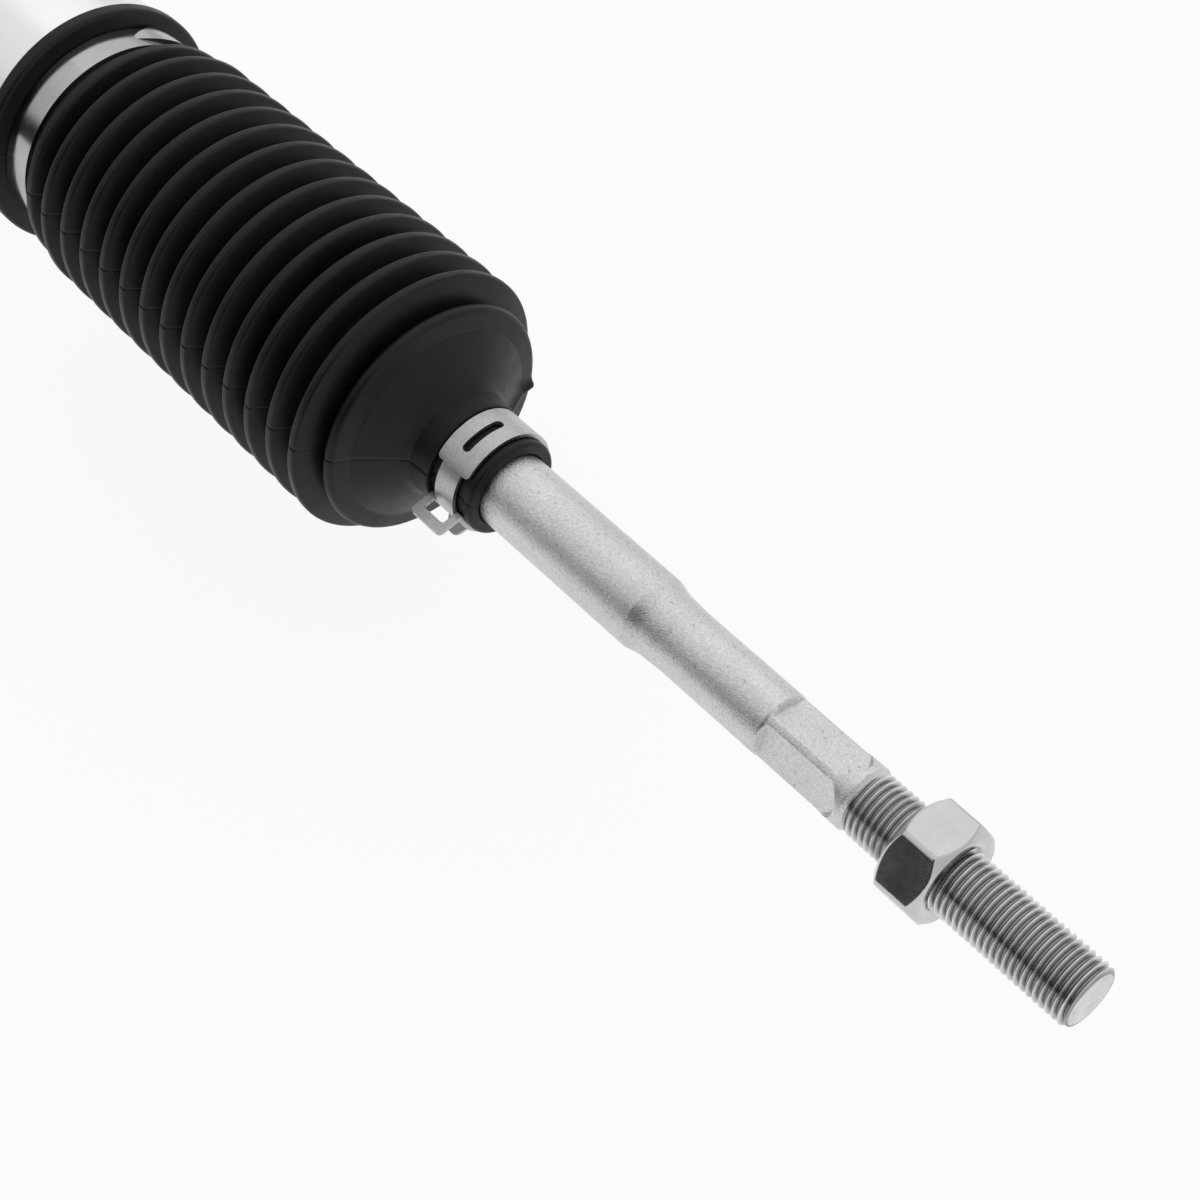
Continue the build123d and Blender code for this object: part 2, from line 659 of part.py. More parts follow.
def boot_inside():
    """Inner corners of the boot from lip to skirt."""
    base = HOUSING_END
    rod_r = SHANK_R + SOFT_GAP
    foot = base + DOME_FOOT_X - BOOT_WALL
    corners = [(base + LIP_X, rod_r), (foot, rod_r), (base + DOME_LINE_X - BOOT_WALL, DOME_LINE_R),
               (base + DOME_X - 1, DOME_R - BOOT_WALL)]
    corners.append((last_valley_x(), DOME_R - DOME_VALLEY - BOOT_WALL))
    for i in reversed(range(CREST_COUNT)):
        x, r = crest(i)
        if i < CREST_COUNT - 1:
            corners.append((x + CREST_PITCH / 2, r - VALLEY_DEPTH - BOOT_WALL))
        corners.append((x, r - BOOT_WALL))
    groove_start = base + BAND_START - SOFT_GAP
    groove_end = groove_start + BAND_WIDTH + 2 * SOFT_GAP
    spigot = SPIGOT_R + FIT_GAP
    groove = SPIGOT_GROOVE_R + FIT_GAP
    shoulder = base - SPIGOT_LENGTH + FIT_GAP
    corners += [(base - STOP_GAP, spigot), (groove_end + GROOVE_DEPTH, spigot), (groove_end, groove),
                (groove_start, groove), (groove_start - GROOVE_DEPTH, spigot), (shoulder, spigot),
                (shoulder, COLLAR_R + FIT_GAP), (base + SKIRT_REAR, COLLAR_R + FIT_GAP)]
    return corners


def boot():
    """Rubber boot: skirt, band seat, folds, dome and neck, hollow inside."""
    return turned(boot_outside() + boot_inside())


def lens(length, half, rise):
    """Low crimp along local Y, lens-shaped from above and from the side, flat below."""
    end = length / 2
    front = ThreePointArc((0, -end), (half, 0), (0, end))
    rear = ThreePointArc((0, end), (-half, 0), (0, -end))
    plan = make_face([front, rear])
    side = make_face([ThreePointArc((-end, 0), (0, rise), (end, 0)), Line((end, 0), (-end, 0))])
    return extrude(plan, rise) & extrude(Plane.YZ * side, half, both=True)


def band_clamp():
    """Flat steel band round the boot's large end, with a low crimp."""
    start = HOUSING_END + BAND_START
    inner = BAND_SEAT_R + FIT_GAP
    outer = inner + BAND_THICK
    band = bar_x(outer, start, start + BAND_WIDTH) - bar_x(inner, start - 1, start + BAND_WIDTH + 1)
    base = outer - BAND_EAR_LENGTH ** 2 / (8 * outer) - BAND_THICK / 2
    ear = lens(BAND_EAR_LENGTH, BAND_EAR_SHARE * BAND_WIDTH / 2, outer + BAND_EAR_HEIGHT - base)
    ear = Pos(start + BAND_WIDTH / 2, 0, RACK_Z) * Rot(BAND_EAR_TURN, 0, 0) * Pos(0, 0, base) * ear
    return band + (ear - bar_x(inner, start - 1, start + BAND_WIDTH + 1))


def strip(start, end, low, high):
    """Arc of flat spring steel round the neck, between two stations and two angles."""
    inner = CLAMP_INNER_R
    outer = CLAMP_OUTER_R
    section = outline([(start, inner), (end, inner), (end, outer), (start, outer)])
    return Rot(low, 0, 0) * revolve(section, Axis.X, revolution_arc=high - low)


def upright(angle, corners):
    """Plate across the neck's tangent at one angle, from (x, radius) corners."""
    plate = extrude(outline(corners), CLAMP_THICK / 2, both=True)
    return Rot(angle, 0, 0) * plate


def clamp_loop(half, gap):
    """Upright ear with a window that the other ear's strip passes through."""
    edge = CLAMP_EAR_ROUND
    root = CLAMP_ROOT_R
    corners = [(-half, root), (-half, CLAMP_LOOP_R, edge), (half, CLAMP_LOOP_R, edge), (half, root), (gap, root),
               (gap, CLAMP_WINDOW_R, edge / 2), (-gap, CLAMP_WINDOW_R, edge / 2), (-gap, root)]
    return upright(CLAMP_LOOP_ANGLE, corners)


def clamp_tongue(half):
    """Upright ear with a rounded tip."""
    base = CLAMP_OUTER_R + CLAMP_EAR_ROUND / 2
    corners = [(-half, CLAMP_ROOT_R), (-half, base), (-half / 2, CLAMP_TONGUE_R, half / 2),
               (half / 2, CLAMP_TONGUE_R, half / 2), (half, base), (half, CLAMP_ROOT_R)]
    return upright(CLAMP_TONGUE_ANGLE, corners)


def clamp_slot():
    """Long slot through the wide part of the band."""
    half = CLAMP_SLOT_WIDTH / 2
    reach = 2 * CLAMP_OUTER_R
    slab = Pos(0, 0, reach / 2) * Box(2 * half, 2 * reach, reach)
    half_turn = (CLAMP_SLOT_END - CLAMP_SLOT_START) / 2
    for side in (-1, 1):
        slab -= Rot(-side * half_turn, 0, 0) * Pos(0, side * reach, 0) * Box(CLAMP_WIDTH, 2 * reach, 4 * reach)
    return Rot((CLAMP_SLOT_START + CLAMP_SLOT_END) / 2 - 90, 0, 0) * slab


def round_corners(band, radius):
    """Rounds the corners of the slot and of the shoulder, the short edges that cross the strip."""
    crossing = []
    for edge in band.edges().filter_by(GeomType.LINE):
        middle = edge @ 0.5
        angle = degrees(atan2(middle.Z, middle.Y)) % 360
        if edge.length < 2 * CLAMP_THICK and CLAMP_SLOT_START - 1 < angle < CLAMP_SHOULDER + 1:
            crossing.append(edge)
    return fillet(crossing, radius)


def spring_clamp():
    """Constant tension clamp: wide slotted band, one strip through a fork, and two ears."""
    wide = CLAMP_WIDTH / 2
    thin = CLAMP_STRIP_WIDTH / 2
    gap = thin + CLAMP_STRIP_GAP
    band = strip(-wide, wide, CLAMP_FORK_END - 360, CLAMP_SHOULDER) - clamp_slot()
    clamp = round_corners(band, CLAMP_CORNER)
    clamp += strip(-thin, thin, CLAMP_SHOULDER, CLAMP_TONGUE_ANGLE)
    clamp += strip(-wide, -gap, CLAMP_LOOP_ANGLE, CLAMP_FORK_END)
    clamp += strip(gap, wide, CLAMP_LOOP_ANGLE, CLAMP_FORK_END)
    clamp += clamp_loop(wide, gap) + clamp_tongue(thin)
    return Pos(CLAMP_MIDDLE_X, 0, RACK_Z) * clamp


# Pinion and its bearings


def flank(tooth, side):
    """Involute flank of one pinion tooth, from base circle to tip."""
    points = []
    count = 6
    for i in range(count + 1):
        r = BASE_R + (GEAR_TIP_R - BASE_R) * (i / count) ** 1.5
        roll = acos(min(1.0, BASE_R / r))
        half = (TOOTH_HALF - BACKLASH / 4) / PITCH_R + (tan(ALPHA) - ALPHA) - (tan(roll) - roll)
        angle = pi / 2 + tooth * 2 * pi / PINION_TEETH + side * half
        points.append((r * cos(angle), r * sin(angle)))
    return points


def gear_face():
    """Outline of the pinion teeth."""
    edges = []
    for tooth in range(PINION_TEETH):
        rise = flank(tooth, -1)
        fall = flank(tooth, 1)[::-1]
        following = flank(tooth + 1, -1)
        roots = [tuple(GEAR_ROOT_R / BASE_R * c for c in p) for p in (rise[0], fall[-1], following[0])]
        edges += [Line(roots[0], rise[0]), Spline(*rise), Line(rise[-1], fall[0]), Spline(*fall),
                  Line(fall[-1], roots[1]), Line(roots[1], roots[2])]
    return make_face(edges)


def pinion():
    """Input shaft with the pinion teeth cut in one piece."""
    gear = Pos(0, 0, -GEAR_HALF) * extrude(gear_face(), 2 * GEAR_HALF)
    lower_end = LOWER_JOURNAL_END
    neck_r = SPLINE_R - 1
    shaft = spun([
        (0, lower_end),
        (LOWER_JOURNAL_R - 0.8, lower_end),
        (LOWER_JOURNAL_R, lower_end + 0.8),
        (LOWER_JOURNAL_R, GEAR_HALF),
        (SHOULDER_R, GEAR_HALF),
        (SHOULDER_R, BEARING_START),
        (SHAFT_R, BEARING_START),
        (SHAFT_R, SPLINE_START - 4),
        (neck_r, SPLINE_START - 2),
        (neck_r, SPLINE_START),
        (SPLINE_R, SPLINE_START + 1),
        (SPLINE_R, SHAFT_TOP - 1),
        (neck_r, SHAFT_TOP),
        (0, SHAFT_TOP),
    ])
    notch = Pos(0, 0, (SPLINE_START + SHAFT_TOP) / 2) * Torus(PINCH_GROOVE_X, PINCH_GROOVE_R)
    return TOWER * (gear + shaft - notch)


def bearing_race(inner, outer):
    """One race of the upper ball bearing with its ball groove."""
    edge = 0.5
    ring = spun([(inner, BEARING_START + edge), (inner + edge, BEARING_START), (outer - edge, BEARING_START),
                 (outer, BEARING_START + edge), (outer, BEARING_END - edge), (outer - edge, BEARING_END),
                 (inner + edge, BEARING_END), (inner, BEARING_END - edge)])
    middle = Pos(0, 0, (BEARING_START + BEARING_END) / 2)
    return TOWER * (ring - middle * Torus(BEARING_PITCH_R, BALL_BEARING_R + RUN_GAP))


def bearing_balls():
    """Balls of the upper bearing."""
    balls = []
    for i in range(BALL_COUNT):
        place = Rot(0, 0, i * 360 / BALL_COUNT) * Pos(BEARING_PITCH_R, 0, (BEARING_START + BEARING_END) / 2)
        balls.append(TOWER * place * Sphere(BALL_BEARING_R))
    return balls


def lower_bearing():
    """Drawn-cup bearing of the pinion's lower journal."""
    inner = LOWER_JOURNAL_R + RUN_GAP
    return TOWER * ring_z(LOWER_SEAT_R, inner, LOWER_JOURNAL_END, CHAMBER_BOTTOM)


def end_plug():
    """Cup plug pressed into the foot of the tower."""
    bottom = TOWER_BOTTOM
    top = bottom + END_PLUG_THICK
    recess_r = END_PLUG_R - 1.5
    return TOWER * spun([(0, bottom + 1.2), (recess_r, bottom + 1.2), (recess_r, bottom), (END_PLUG_R, bottom),
                         (END_PLUG_R, top), (0, top)])


def tower_cap():
    """Threaded ring cap that holds the upper bearing, slotted for a spanner."""
    top = TOWER_TOP + CAP_FLANGE
    rim = CAP_FLANGE_R
    cap = spun([(CAP_BORE_R, BEARING_END), (CAP_R, BEARING_END), (CAP_R, TOWER_TOP), (rim, TOWER_TOP),
                (rim, top - 1), (rim - 1, top), (CAP_BORE_R, top)])
    notch = Pos(rim, 0, top - CAP_FLANGE / 4) * Box(3, 4, CAP_FLANGE)
    for i in range(CAP_SLOTS):
        cap -= Rot(0, 0, i * 360 / CAP_SLOTS) * notch
    return TOWER * cap


def shaft_seal():
    """Lip seal in the cap."""
    inner = SHAFT_R + RUN_GAP
    top = TOWER_TOP + CAP_FLANGE - 1
    low = top - SEAL_DEPTH
    outer = CAP_BORE_R - FIT_GAP
    foot = inner + 2.5
    wall = outer - 2
    return TOWER * spun([(foot, low), (outer, low), (outer, top), (inner + 1, top), (inner, top - 2),
                         (inner + 1.2, top - 3.2), (wall, top - 2.2), (wall, low + 1.2), (foot, low + 1.2)])


def dust_cover():
    """Rubber cover over the cap with a lip round the shaft."""
    low = TOWER_TOP + CAP_FLANGE + FIT_GAP
    top = low + COVER_HEIGHT
    inner = SHAFT_R + SOFT_GAP
    lip = top + 2
    bend = top - 1.5
    inside = COVER_R - COVER_WALL
    return TOWER * spun([(inside, low), (COVER_R, low), (COVER_R, low + 1.5, 1.5), (inner + 4, bend, 2),
                         (inner + COVER_WALL, lip), (inner, lip), (inner, top - 2),
                         (inner + 3, bend - COVER_WALL), (inside, low + 0.8)])


# Rack support yoke


def yoke():
    """Sprung yoke that presses the rack into the pinion."""
    ring_seat = YOKE_R - 2 * YOKE_RING_R
    low = YOKE_RING_Y - YOKE_RING_R
    high = YOKE_RING_Y + YOKE_RING_R
    body = spun([(0, YOKE_START), (YOKE_R, YOKE_START), (YOKE_R, low), (ring_seat, low), (ring_seat, high),
                 (YOKE_R, high), (YOKE_R, YOKE_END - 1), (YOKE_R - 1, YOKE_END), (0, YOKE_END)])
    body -= rod_z(SPRING_R + SPRING_WIRE_R + 0.6, SPRING_START, YOKE_END + 1)
    saddle_r = RACK_R + LINER_WALL + RUN_GAP + FIT_GAP
    return YOKE_AXIS * body - bar_x(saddle_r, PINION_X - 2 * YOKE_R, PINION_X + 2 * YOKE_R)


def yoke_liner():
    """Low-friction liner in the yoke's saddle."""
    inner = RACK_R + RUN_GAP
    shell = bar_x(inner + LINER_WALL, PINION_X - YOKE_R, PINION_X + YOKE_R)
    shell -= bar_x(inner, PINION_X - 2 * YOKE_R, PINION_X + 2 * YOKE_R)
    return shell & YOKE_AXIS * rod_z(YOKE_R - 1, YOKE_START + 0.5, YOKE_END)


def yoke_ring():
    """Rubber ring round the yoke."""
    return YOKE_AXIS * Pos(0, 0, YOKE_RING_Y) * Torus(YOKE_R - YOKE_RING_R + 0.02, YOKE_RING_R - 0.05)


def yoke_spring():
    """Coil spring between yoke and adjuster plug."""
    low = SPRING_START + SPRING_WIRE_R + FIT_GAP
    height = PLUG_START + 3 - SPRING_WIRE_R - FIT_GAP - low
    path = Helix(height / SPRING_TURNS, height, SPRING_R)
    wire = Plane(origin=path @ 0, z_dir=path % 0) * Circle(SPRING_WIRE_R)
    return YOKE_AXIS * Pos(0, 0, low) * sweep(wire, path, is_frenet=True)


def yoke_plug():
    """Threaded adjuster plug with an internal hexagon."""
    end = PLUG_END
    body = spun([(0, PLUG_START), (PLUG_R, PLUG_START), (PLUG_R, end - 1), (PLUG_R - 1, end), (0, end)])
    body -= rod_z(SPRING_R + SPRING_WIRE_R + 0.6, PLUG_START - 1, PLUG_START + 3)
    hexagon = RegularPolygon(PLUG_SOCKET_ACROSS / sqrt(3), 6)
    body -= Pos(0, 0, end - PLUG_SOCKET_DEPTH) * extrude(hexagon, PLUG_SOCKET_DEPTH + 1)
    return YOKE_AXIS * body


def yoke_locknut():
    """Thin hexagon nut that locks the adjuster plug."""
    nut = hexagon_prism(LOCKNUT_ACROSS, LOCKNUT_THICK) - rod_z(PLUG_R + FIT_GAP, -1, LOCKNUT_THICK + 1)
    return YOKE_AXIS * Pos(0, 0, YOKE_BOSS_END) * nut


# Output


def save(name, solids):
    """Write one named piece, or one group of like pieces."""
    if isinstance(solids, list):
        shape = Compound(children=[s for piece in solids for s in piece.solids()])
    else:
        shape = solids
    export_step(shape, f"parts/{name}.step")


SINGLE_PIECES = {
    "housing": housing,
    "mount_bush_rubbers": eye_rubbers,
    "mount_bush_sleeves": eye_sleeves,
    "rack_bush": rack_bush,
    "rack_bush_snap_ring": rack_bush_ring,
    "rack": rack,
    "pinion": pinion,
    "pinion_bearing_balls": bearing_balls,
    "pinion_lower_bearing": lower_bearing,
    "tower_end_plug": end_plug,
    "tower_cap": tower_cap,
    "pinion_shaft_seal": shaft_seal,
    "pinion_dust_cover": dust_cover,
    "rack_yoke": yoke,
    "rack_yoke_liner": yoke_liner,
    "rack_yoke_ring": yoke_ring,
    "rack_yoke_spring": yoke_spring,
    "rack_yoke_plug": yoke_plug,
    "rack_yoke_locknut": yoke_locknut,
}

PAIRED_PIECES = {
    "lock_washer": lock_washer,
    "ball_socket": socket,
    "ball_seat": ball_seat,
    "tie_rod": tie_rod,
    "jam_nut": jam_nut,
    "boot": boot,
    "boot_band_clamp": band_clamp,
    "boot_spring_clamp": spring_clamp,
}

for name, make in SINGLE_PIECES.items():
    save(name, make())

save("pinion_bearing_inner_race", bearing_race(SHAFT_R + FIT_GAP, SHAFT_R + RACE_WALL))
save("pinion_bearing_outer_race", bearing_race(BEARING_R - RACE_WALL, BEARING_R))

for name, make in PAIRED_PIECES.items():
    right = make()
    save(name + "_right", right)
    save(name + "_left", mirror(right, Plane.YZ))
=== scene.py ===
import json
from math import atan2, cos, degrees, pi, radians, sin, sqrt, tan

import bmesh
import bpy
import numpy as np
from mathutils import Matrix, Vector


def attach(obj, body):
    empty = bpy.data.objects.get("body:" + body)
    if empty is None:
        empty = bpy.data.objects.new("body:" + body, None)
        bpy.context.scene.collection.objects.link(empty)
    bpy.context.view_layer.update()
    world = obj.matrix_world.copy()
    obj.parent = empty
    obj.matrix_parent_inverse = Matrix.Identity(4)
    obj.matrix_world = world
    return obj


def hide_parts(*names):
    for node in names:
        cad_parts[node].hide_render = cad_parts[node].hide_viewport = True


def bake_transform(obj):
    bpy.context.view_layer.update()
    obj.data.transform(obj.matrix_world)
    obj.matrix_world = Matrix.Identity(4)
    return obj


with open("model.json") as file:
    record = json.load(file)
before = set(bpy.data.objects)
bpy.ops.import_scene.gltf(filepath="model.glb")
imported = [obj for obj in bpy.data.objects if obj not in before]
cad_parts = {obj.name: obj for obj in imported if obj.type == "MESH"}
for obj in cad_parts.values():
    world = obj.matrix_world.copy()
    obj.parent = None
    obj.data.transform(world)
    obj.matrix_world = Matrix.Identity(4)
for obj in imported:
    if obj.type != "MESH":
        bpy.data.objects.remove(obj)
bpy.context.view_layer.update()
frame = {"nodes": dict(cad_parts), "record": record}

# Sizes are in millimetres and angles in degrees; a station is measured along the rack from its middle
MM = 0.001
RACK_Z = 40.0
HOUSING_END = 285.0
SPIGOT_R = 23.7
COLLAR_R = 28.43
BALL_X = 351.0
BALL_R = 13.0
SIDES = (("right", 1), ("left", -1))

# Boot
WALL = 2.3
SKIRT_REAR = 267.6
SKIRT_LENGTH = 3.4
SKIRT_R = 29.9
SKIRT_CHAMFER = 0.9
BAND_SEAT_START = 272.1
BAND_SEAT_END = 280.1
BAND_SEAT_R = 25.2
SPIGOT_SETBACK = 0.6
SPIGOT_LENGTH = 16.4
SPIGOT_GAP = 0.05
COLLAR_GAP = 0.02
FIRST_CREST_X = 285.7
CREST_PITCH = 7.61
CREST_COUNT = 14
FIRST_CREST_R = 28.9
SECOND_CREST_R = 30.3
CREST_GROWTH = 1.2
CREST_HALF = 1.0
FOLD_ROUND = 0.9
INNER_FOLD_ROUND = 1.0
FOLD_DEPTH = 6.0
LAST_BELLOWS_FOLD = 10
DOME_X = 391.5
DOME_VALLEY_R = 24.6
NECK_R = 10.9
LIP_X = 417.4
LIP_LENGTH = 2.0
LIP_R = 11.2
ROD_CLEAR_R = 8.75
# Rows of (station, radius, rounding): dome edge and conical face from DOME_X, then foot and collar
DOME_FACE = ((-1.3, 27.6, 1.5), (0.9, 27.3, 1.6), (1.9, 22.9, 1.2), (2.15, 22.65, 0.3))
NECK_COLLAR = ((398.7, 14.0, 1.3), (399.9, 12.7, 0.3), (405.2, 12.35, 0.35), (405.5, NECK_R, 0.2))
DOME_INSIDE = ((-0.2, 21.6, 2.0), (-0.6, 24.6, 0.8))
NECK_BORE_START = 397.2

# Marks that the mould leaves on the boot
PARTING_ANGLES = (166.0, 346.0)
PARTING_DEPTH = 0.22
PARTING_HALF = 0.25
WEB_ANGLE = 346.0
WEB_HEIGHT = 1.3
WEB_HALF = 0.75
WEB_FOOT_R = 12.5
WEB_START = 0.6

# Stations where the boot passes from one body to the next
SLIDE_START = 280.2
SWING_START = FIRST_CREST_X + (LAST_BELLOWS_FOLD + 0.5) * CREST_PITCH
SWEEP_START = (FIRST_CREST_X + (CREST_COUNT - 1) * CREST_PITCH + DOME_X) / 2
SWEEP_END = 399.0

# Tie rod
STUD_NECK_R = 6.0
SHANK_R = 8.45
BAR_R = 7.28
# Rows of (distance from the ball, radius, rounding) from the stud's neck to the bar
SHANK_ROWS = ((17, STUD_NECK_R, 5), (28, SHANK_R, 8), (109.3, SHANK_R, 0.7), (112.2, SHANK_R - 0.80, 12),
              (118.6, BAR_R, 14))
RIDGE_R = 7.05
RIDGE_SLOPE = 0.35
RIDGE_RUN_OUT = 0.3
RIDGE_SOFTNESS = 0.05
FLAT_HALF = 5.5
FLAT_NORMAL = 76.5
FLAT_REACH = 50
FLAT_START = 497.0
FLAT_END = 516.6
FLAT_MARGIN = 1.2
FLAT_REAR_ROUND = 2.0
FLAT_FRONT_ROUND = 5.5
FLAT_WALL_SLOPE = 2.2
FLAT_SOFTNESS = 0.09

# Thread M14 by 1.5: depth below the crest along one pitch, and where along it the mesh lines lie
THREAD_R = 7.0
THREAD_PITCH = 1.5
THREAD_START = 519.5
THREAD_END = 575.0
THREAD_CHAMFER = 0.8
THREAD_LEAD = 0.6
THREAD_AROUND = 120
THREAD_PROFILE = ((0.0, 0.0), (0.03, 0.0), (0.40, 0.92), (0.60, 0.92), (0.97, 0.0), (1.0, 0.0))
THREAD_PHASES = (0.03, 0.15, 0.28, 0.40, 0.60, 0.72, 0.85, 0.97)

# Jam nut of 21 mm, chamfered on both faces
NUT_START = 531.4
NUT_THICK = 11.0
NUT_HALF = 10.5
NUT_FACE_R = 9.98
NUT_CORNER = 115.8
NUT_CHAMFER_ANGLE = 40
NUT_CONE_LENGTH = 2.4
NUT_BLANK_R = 14.0
NUT_BORE_R = 6.6
NUT_LEAD = 1.3
NUT_CORNER_SOFTNESS = 0.9
NUT_EDGE_SOFTNESS = 0.3

# Input shaft, heights measured from its foot along its own tilted axis
SHAFT_FOOT = (-218.0, -15.4, RACK_Z)
SHAFT_TILT = 12.0
SHAFT_TOP = 84.0
SPLINE_START = 56.0
# A hair below the CAD's faceted end, so that the true circle stays in its box
SPLINE_END = SHAFT_TOP - 0.02
SPLINE_R = 8.0
SPLINE_ROOT_R = 7.3
SPLINE_COUNT = 36
SPLINE_NECK_R = SPLINE_R - 1
SPLINE_SUNK = 1.2
PINCH_GROOVE_X = 10.6
PINCH_GROOVE_R = 4.5

# Studio: sides of a direction are sines, levels are shares of white
FLOOR_SIZE = 14
FLOOR_Z = -0.0215
FLOOR_GREY = (0.84, 0.84, 0.84, 1)
WHITE_SHARE = 0.9
DARK_CORNER = Vector((0.23, -0.84, 0.49)).normalized()
DARK_CORNER_EDGE = 38
DARK_CORNER_CORE = 20
DARK_BAND_TOP = (0.18, 0.42)
DARK_BAND_SIDE = (-0.75, -0.35)
DARK_LEVEL = 0.05
STUDIO_LEVELS = (0.74, 0.90)
STUDIO_TOP = 0.9
KEY_PLACE = (-0.5, 1.25, 1.5)
KEY_TARGET = (0.3, 0, 0.04)
KEY_SIZE = (3.0, 2.4)
KEY_POWER = 5.5

# Camera, fitted to the photograph's thread, rod and boot rings
CAMERA_LENS = 78.74
CAMERA_SENSOR = 36.0
CAMERA_PLACE = (693.157, -218.052, 442.686)
CAMERA_RIGHT = (0.65954481, 0.75166525, 0.0)
CAMERA_UP = (-0.58680657, 0.51489041, 0.62493672)
CAMERA_LOOK = (-0.46974322, 0.41217377, -0.78067541)


# Meshes

def rounded(corners, arc_points=6):
    """Polyline through corners (x, r) or (x, r, radius), each rounded corner drawn with its arc."""
    points = []
    for i, corner in enumerate(corners):
        here = np.array(corner[:2], float)
        radius = corner[2] if len(corner) > 2 else 0.0
        if radius == 0 or i in (0, len(corners) - 1):
            points.append(here)
            continue
        back = np.array(corners[i - 1][:2], float) - here
        ahead = np.array(corners[i + 1][:2], float) - here
        back_length = np.linalg.norm(back)
        ahead_length = np.linalg.norm(ahead)
        back /= back_length
        ahead /= ahead_length
        half = np.arccos(np.clip(back @ ahead, -1, 1)) / 2
        reach = min(radius / tan(half), 0.48 * back_length, 0.48 * ahead_length)
        radius = reach * tan(half)
        middle = back + ahead
        middle /= np.linalg.norm(middle)
        centre = here + middle * radius / sin(half)
        low = here + back * reach - centre
        high = here + ahead * reach - centre
        for k in range(arc_points + 1):
            way = low * (1 - k / arc_points) + high * (k / arc_points)
            points.append(centre + way / np.linalg.norm(way) * radius)
    return points


def spread(start, end, step):
    """Even stations from start to end, about one step apart."""
    count = max(int(round(abs(end - start) / step)), 1)
    return [start + (end - start) * i / count for i in range(count + 1)]


def angle_list(count, dense=()):
    """Angles round the axis in degrees, closer together near some of them."""
    angles = {round(i * 360 / count, 4) for i in range(count)}
    for centre in dense:
        angles |= {round((centre + s * o) % 360, 4) for o in (0.0, 0.25, 0.5, 0.8, 1.2, 1.7) for s in (-1, 1)}
    return sorted(angles)


def angle_from(a, centre):
    """How far one angle lies from another, 0 to 180."""
    return abs((a - centre + 180) % 360 - 180)


def smooth_min(a, b, width):
    """Lower of two sizes, rounded where they meet."""
    h = np.clip(0.5 + 0.5 * (b - a) / width, 0, 1)
    return b * (1 - h) + a * h - width * h * (1 - h)


def link_mesh(name, mesh, sharp_angle):
    """Object of a smooth-shaded mesh whose sharper edges stay sharp."""
    mesh.polygons.foreach_set("use_smooth", [True] * len(mesh.polygons))
    mesh.set_sharp_from_angle(angle=radians(sharp_angle))
    mesh.update()
    piece = bpy.data.objects.new(name, mesh)
    bpy.context.scene.collection.objects.link(piece)
    return piece


def new_object(name, vertices, faces, sharp_angle):
    """Object from plain lists of vertices in metres and faces, with clean normals."""
    mesh = bpy.data.meshes.new(name)
    mesh.from_pydata([tuple(v) for v in vertices], [], faces)
    work = bmesh.new()
    work.from_mesh(mesh)
    bmesh.ops.remove_doubles(work, verts=work.verts, dist=1e-7)
    bmesh.ops.dissolve_degenerate(work, edges=work.edges, dist=1e-7)
    bmesh.ops.recalc_face_normals(work, faces=work.faces)
    work.to_mesh(mesh)
    work.free()
    return link_mesh(name, mesh, sharp_angle)


def ring_grid(rows, angles, relief):
    """Closed surface round the rack axis from a closed loop of (x, r) rows; relief moves each point."""
    vertices = []
    for x, r in rows:
        for a in angles:
            dx, dr = relief(x, r, a)
            t = radians(a)
            vertices.append((x + dx, (r + dr) * cos(t), (r + dr) * sin(t)))
    faces = []
    n = len(angles)
    m = len(rows)
    for i in range(m):
        for j in range(n):
            k = (j + 1) % n
            nxt = (i + 1) % m
            faces.append((i * n + j, i * n + k, nxt * n + k, nxt * n + j))
    return np.array(vertices), faces


def place(points, side, turn_left=False):
    """Millimetre points about the axis to metres on the right side (+1) or the left side (-1)."""
    points = np.array(points, float)
    if side < 0:
        points[:, 0] *= -1
        if turn_left:
            points[:, 1] *= -1
    points[:, 2] += RACK_Z
    return points * MM


# Node helpers

def new_material(name):
    """Material with one Principled shader."""
    material = bpy.data.materials.new(name)
    material.use_nodes = True
    nodes = material.node_tree.nodes
    nodes.clear()
    output = nodes.new("ShaderNodeOutputMaterial")
    shader = nodes.new("ShaderNodeBsdfPrincipled")
    material.node_tree.links.new(shader.outputs["BSDF"], output.inputs["Surface"])
    return material, shader


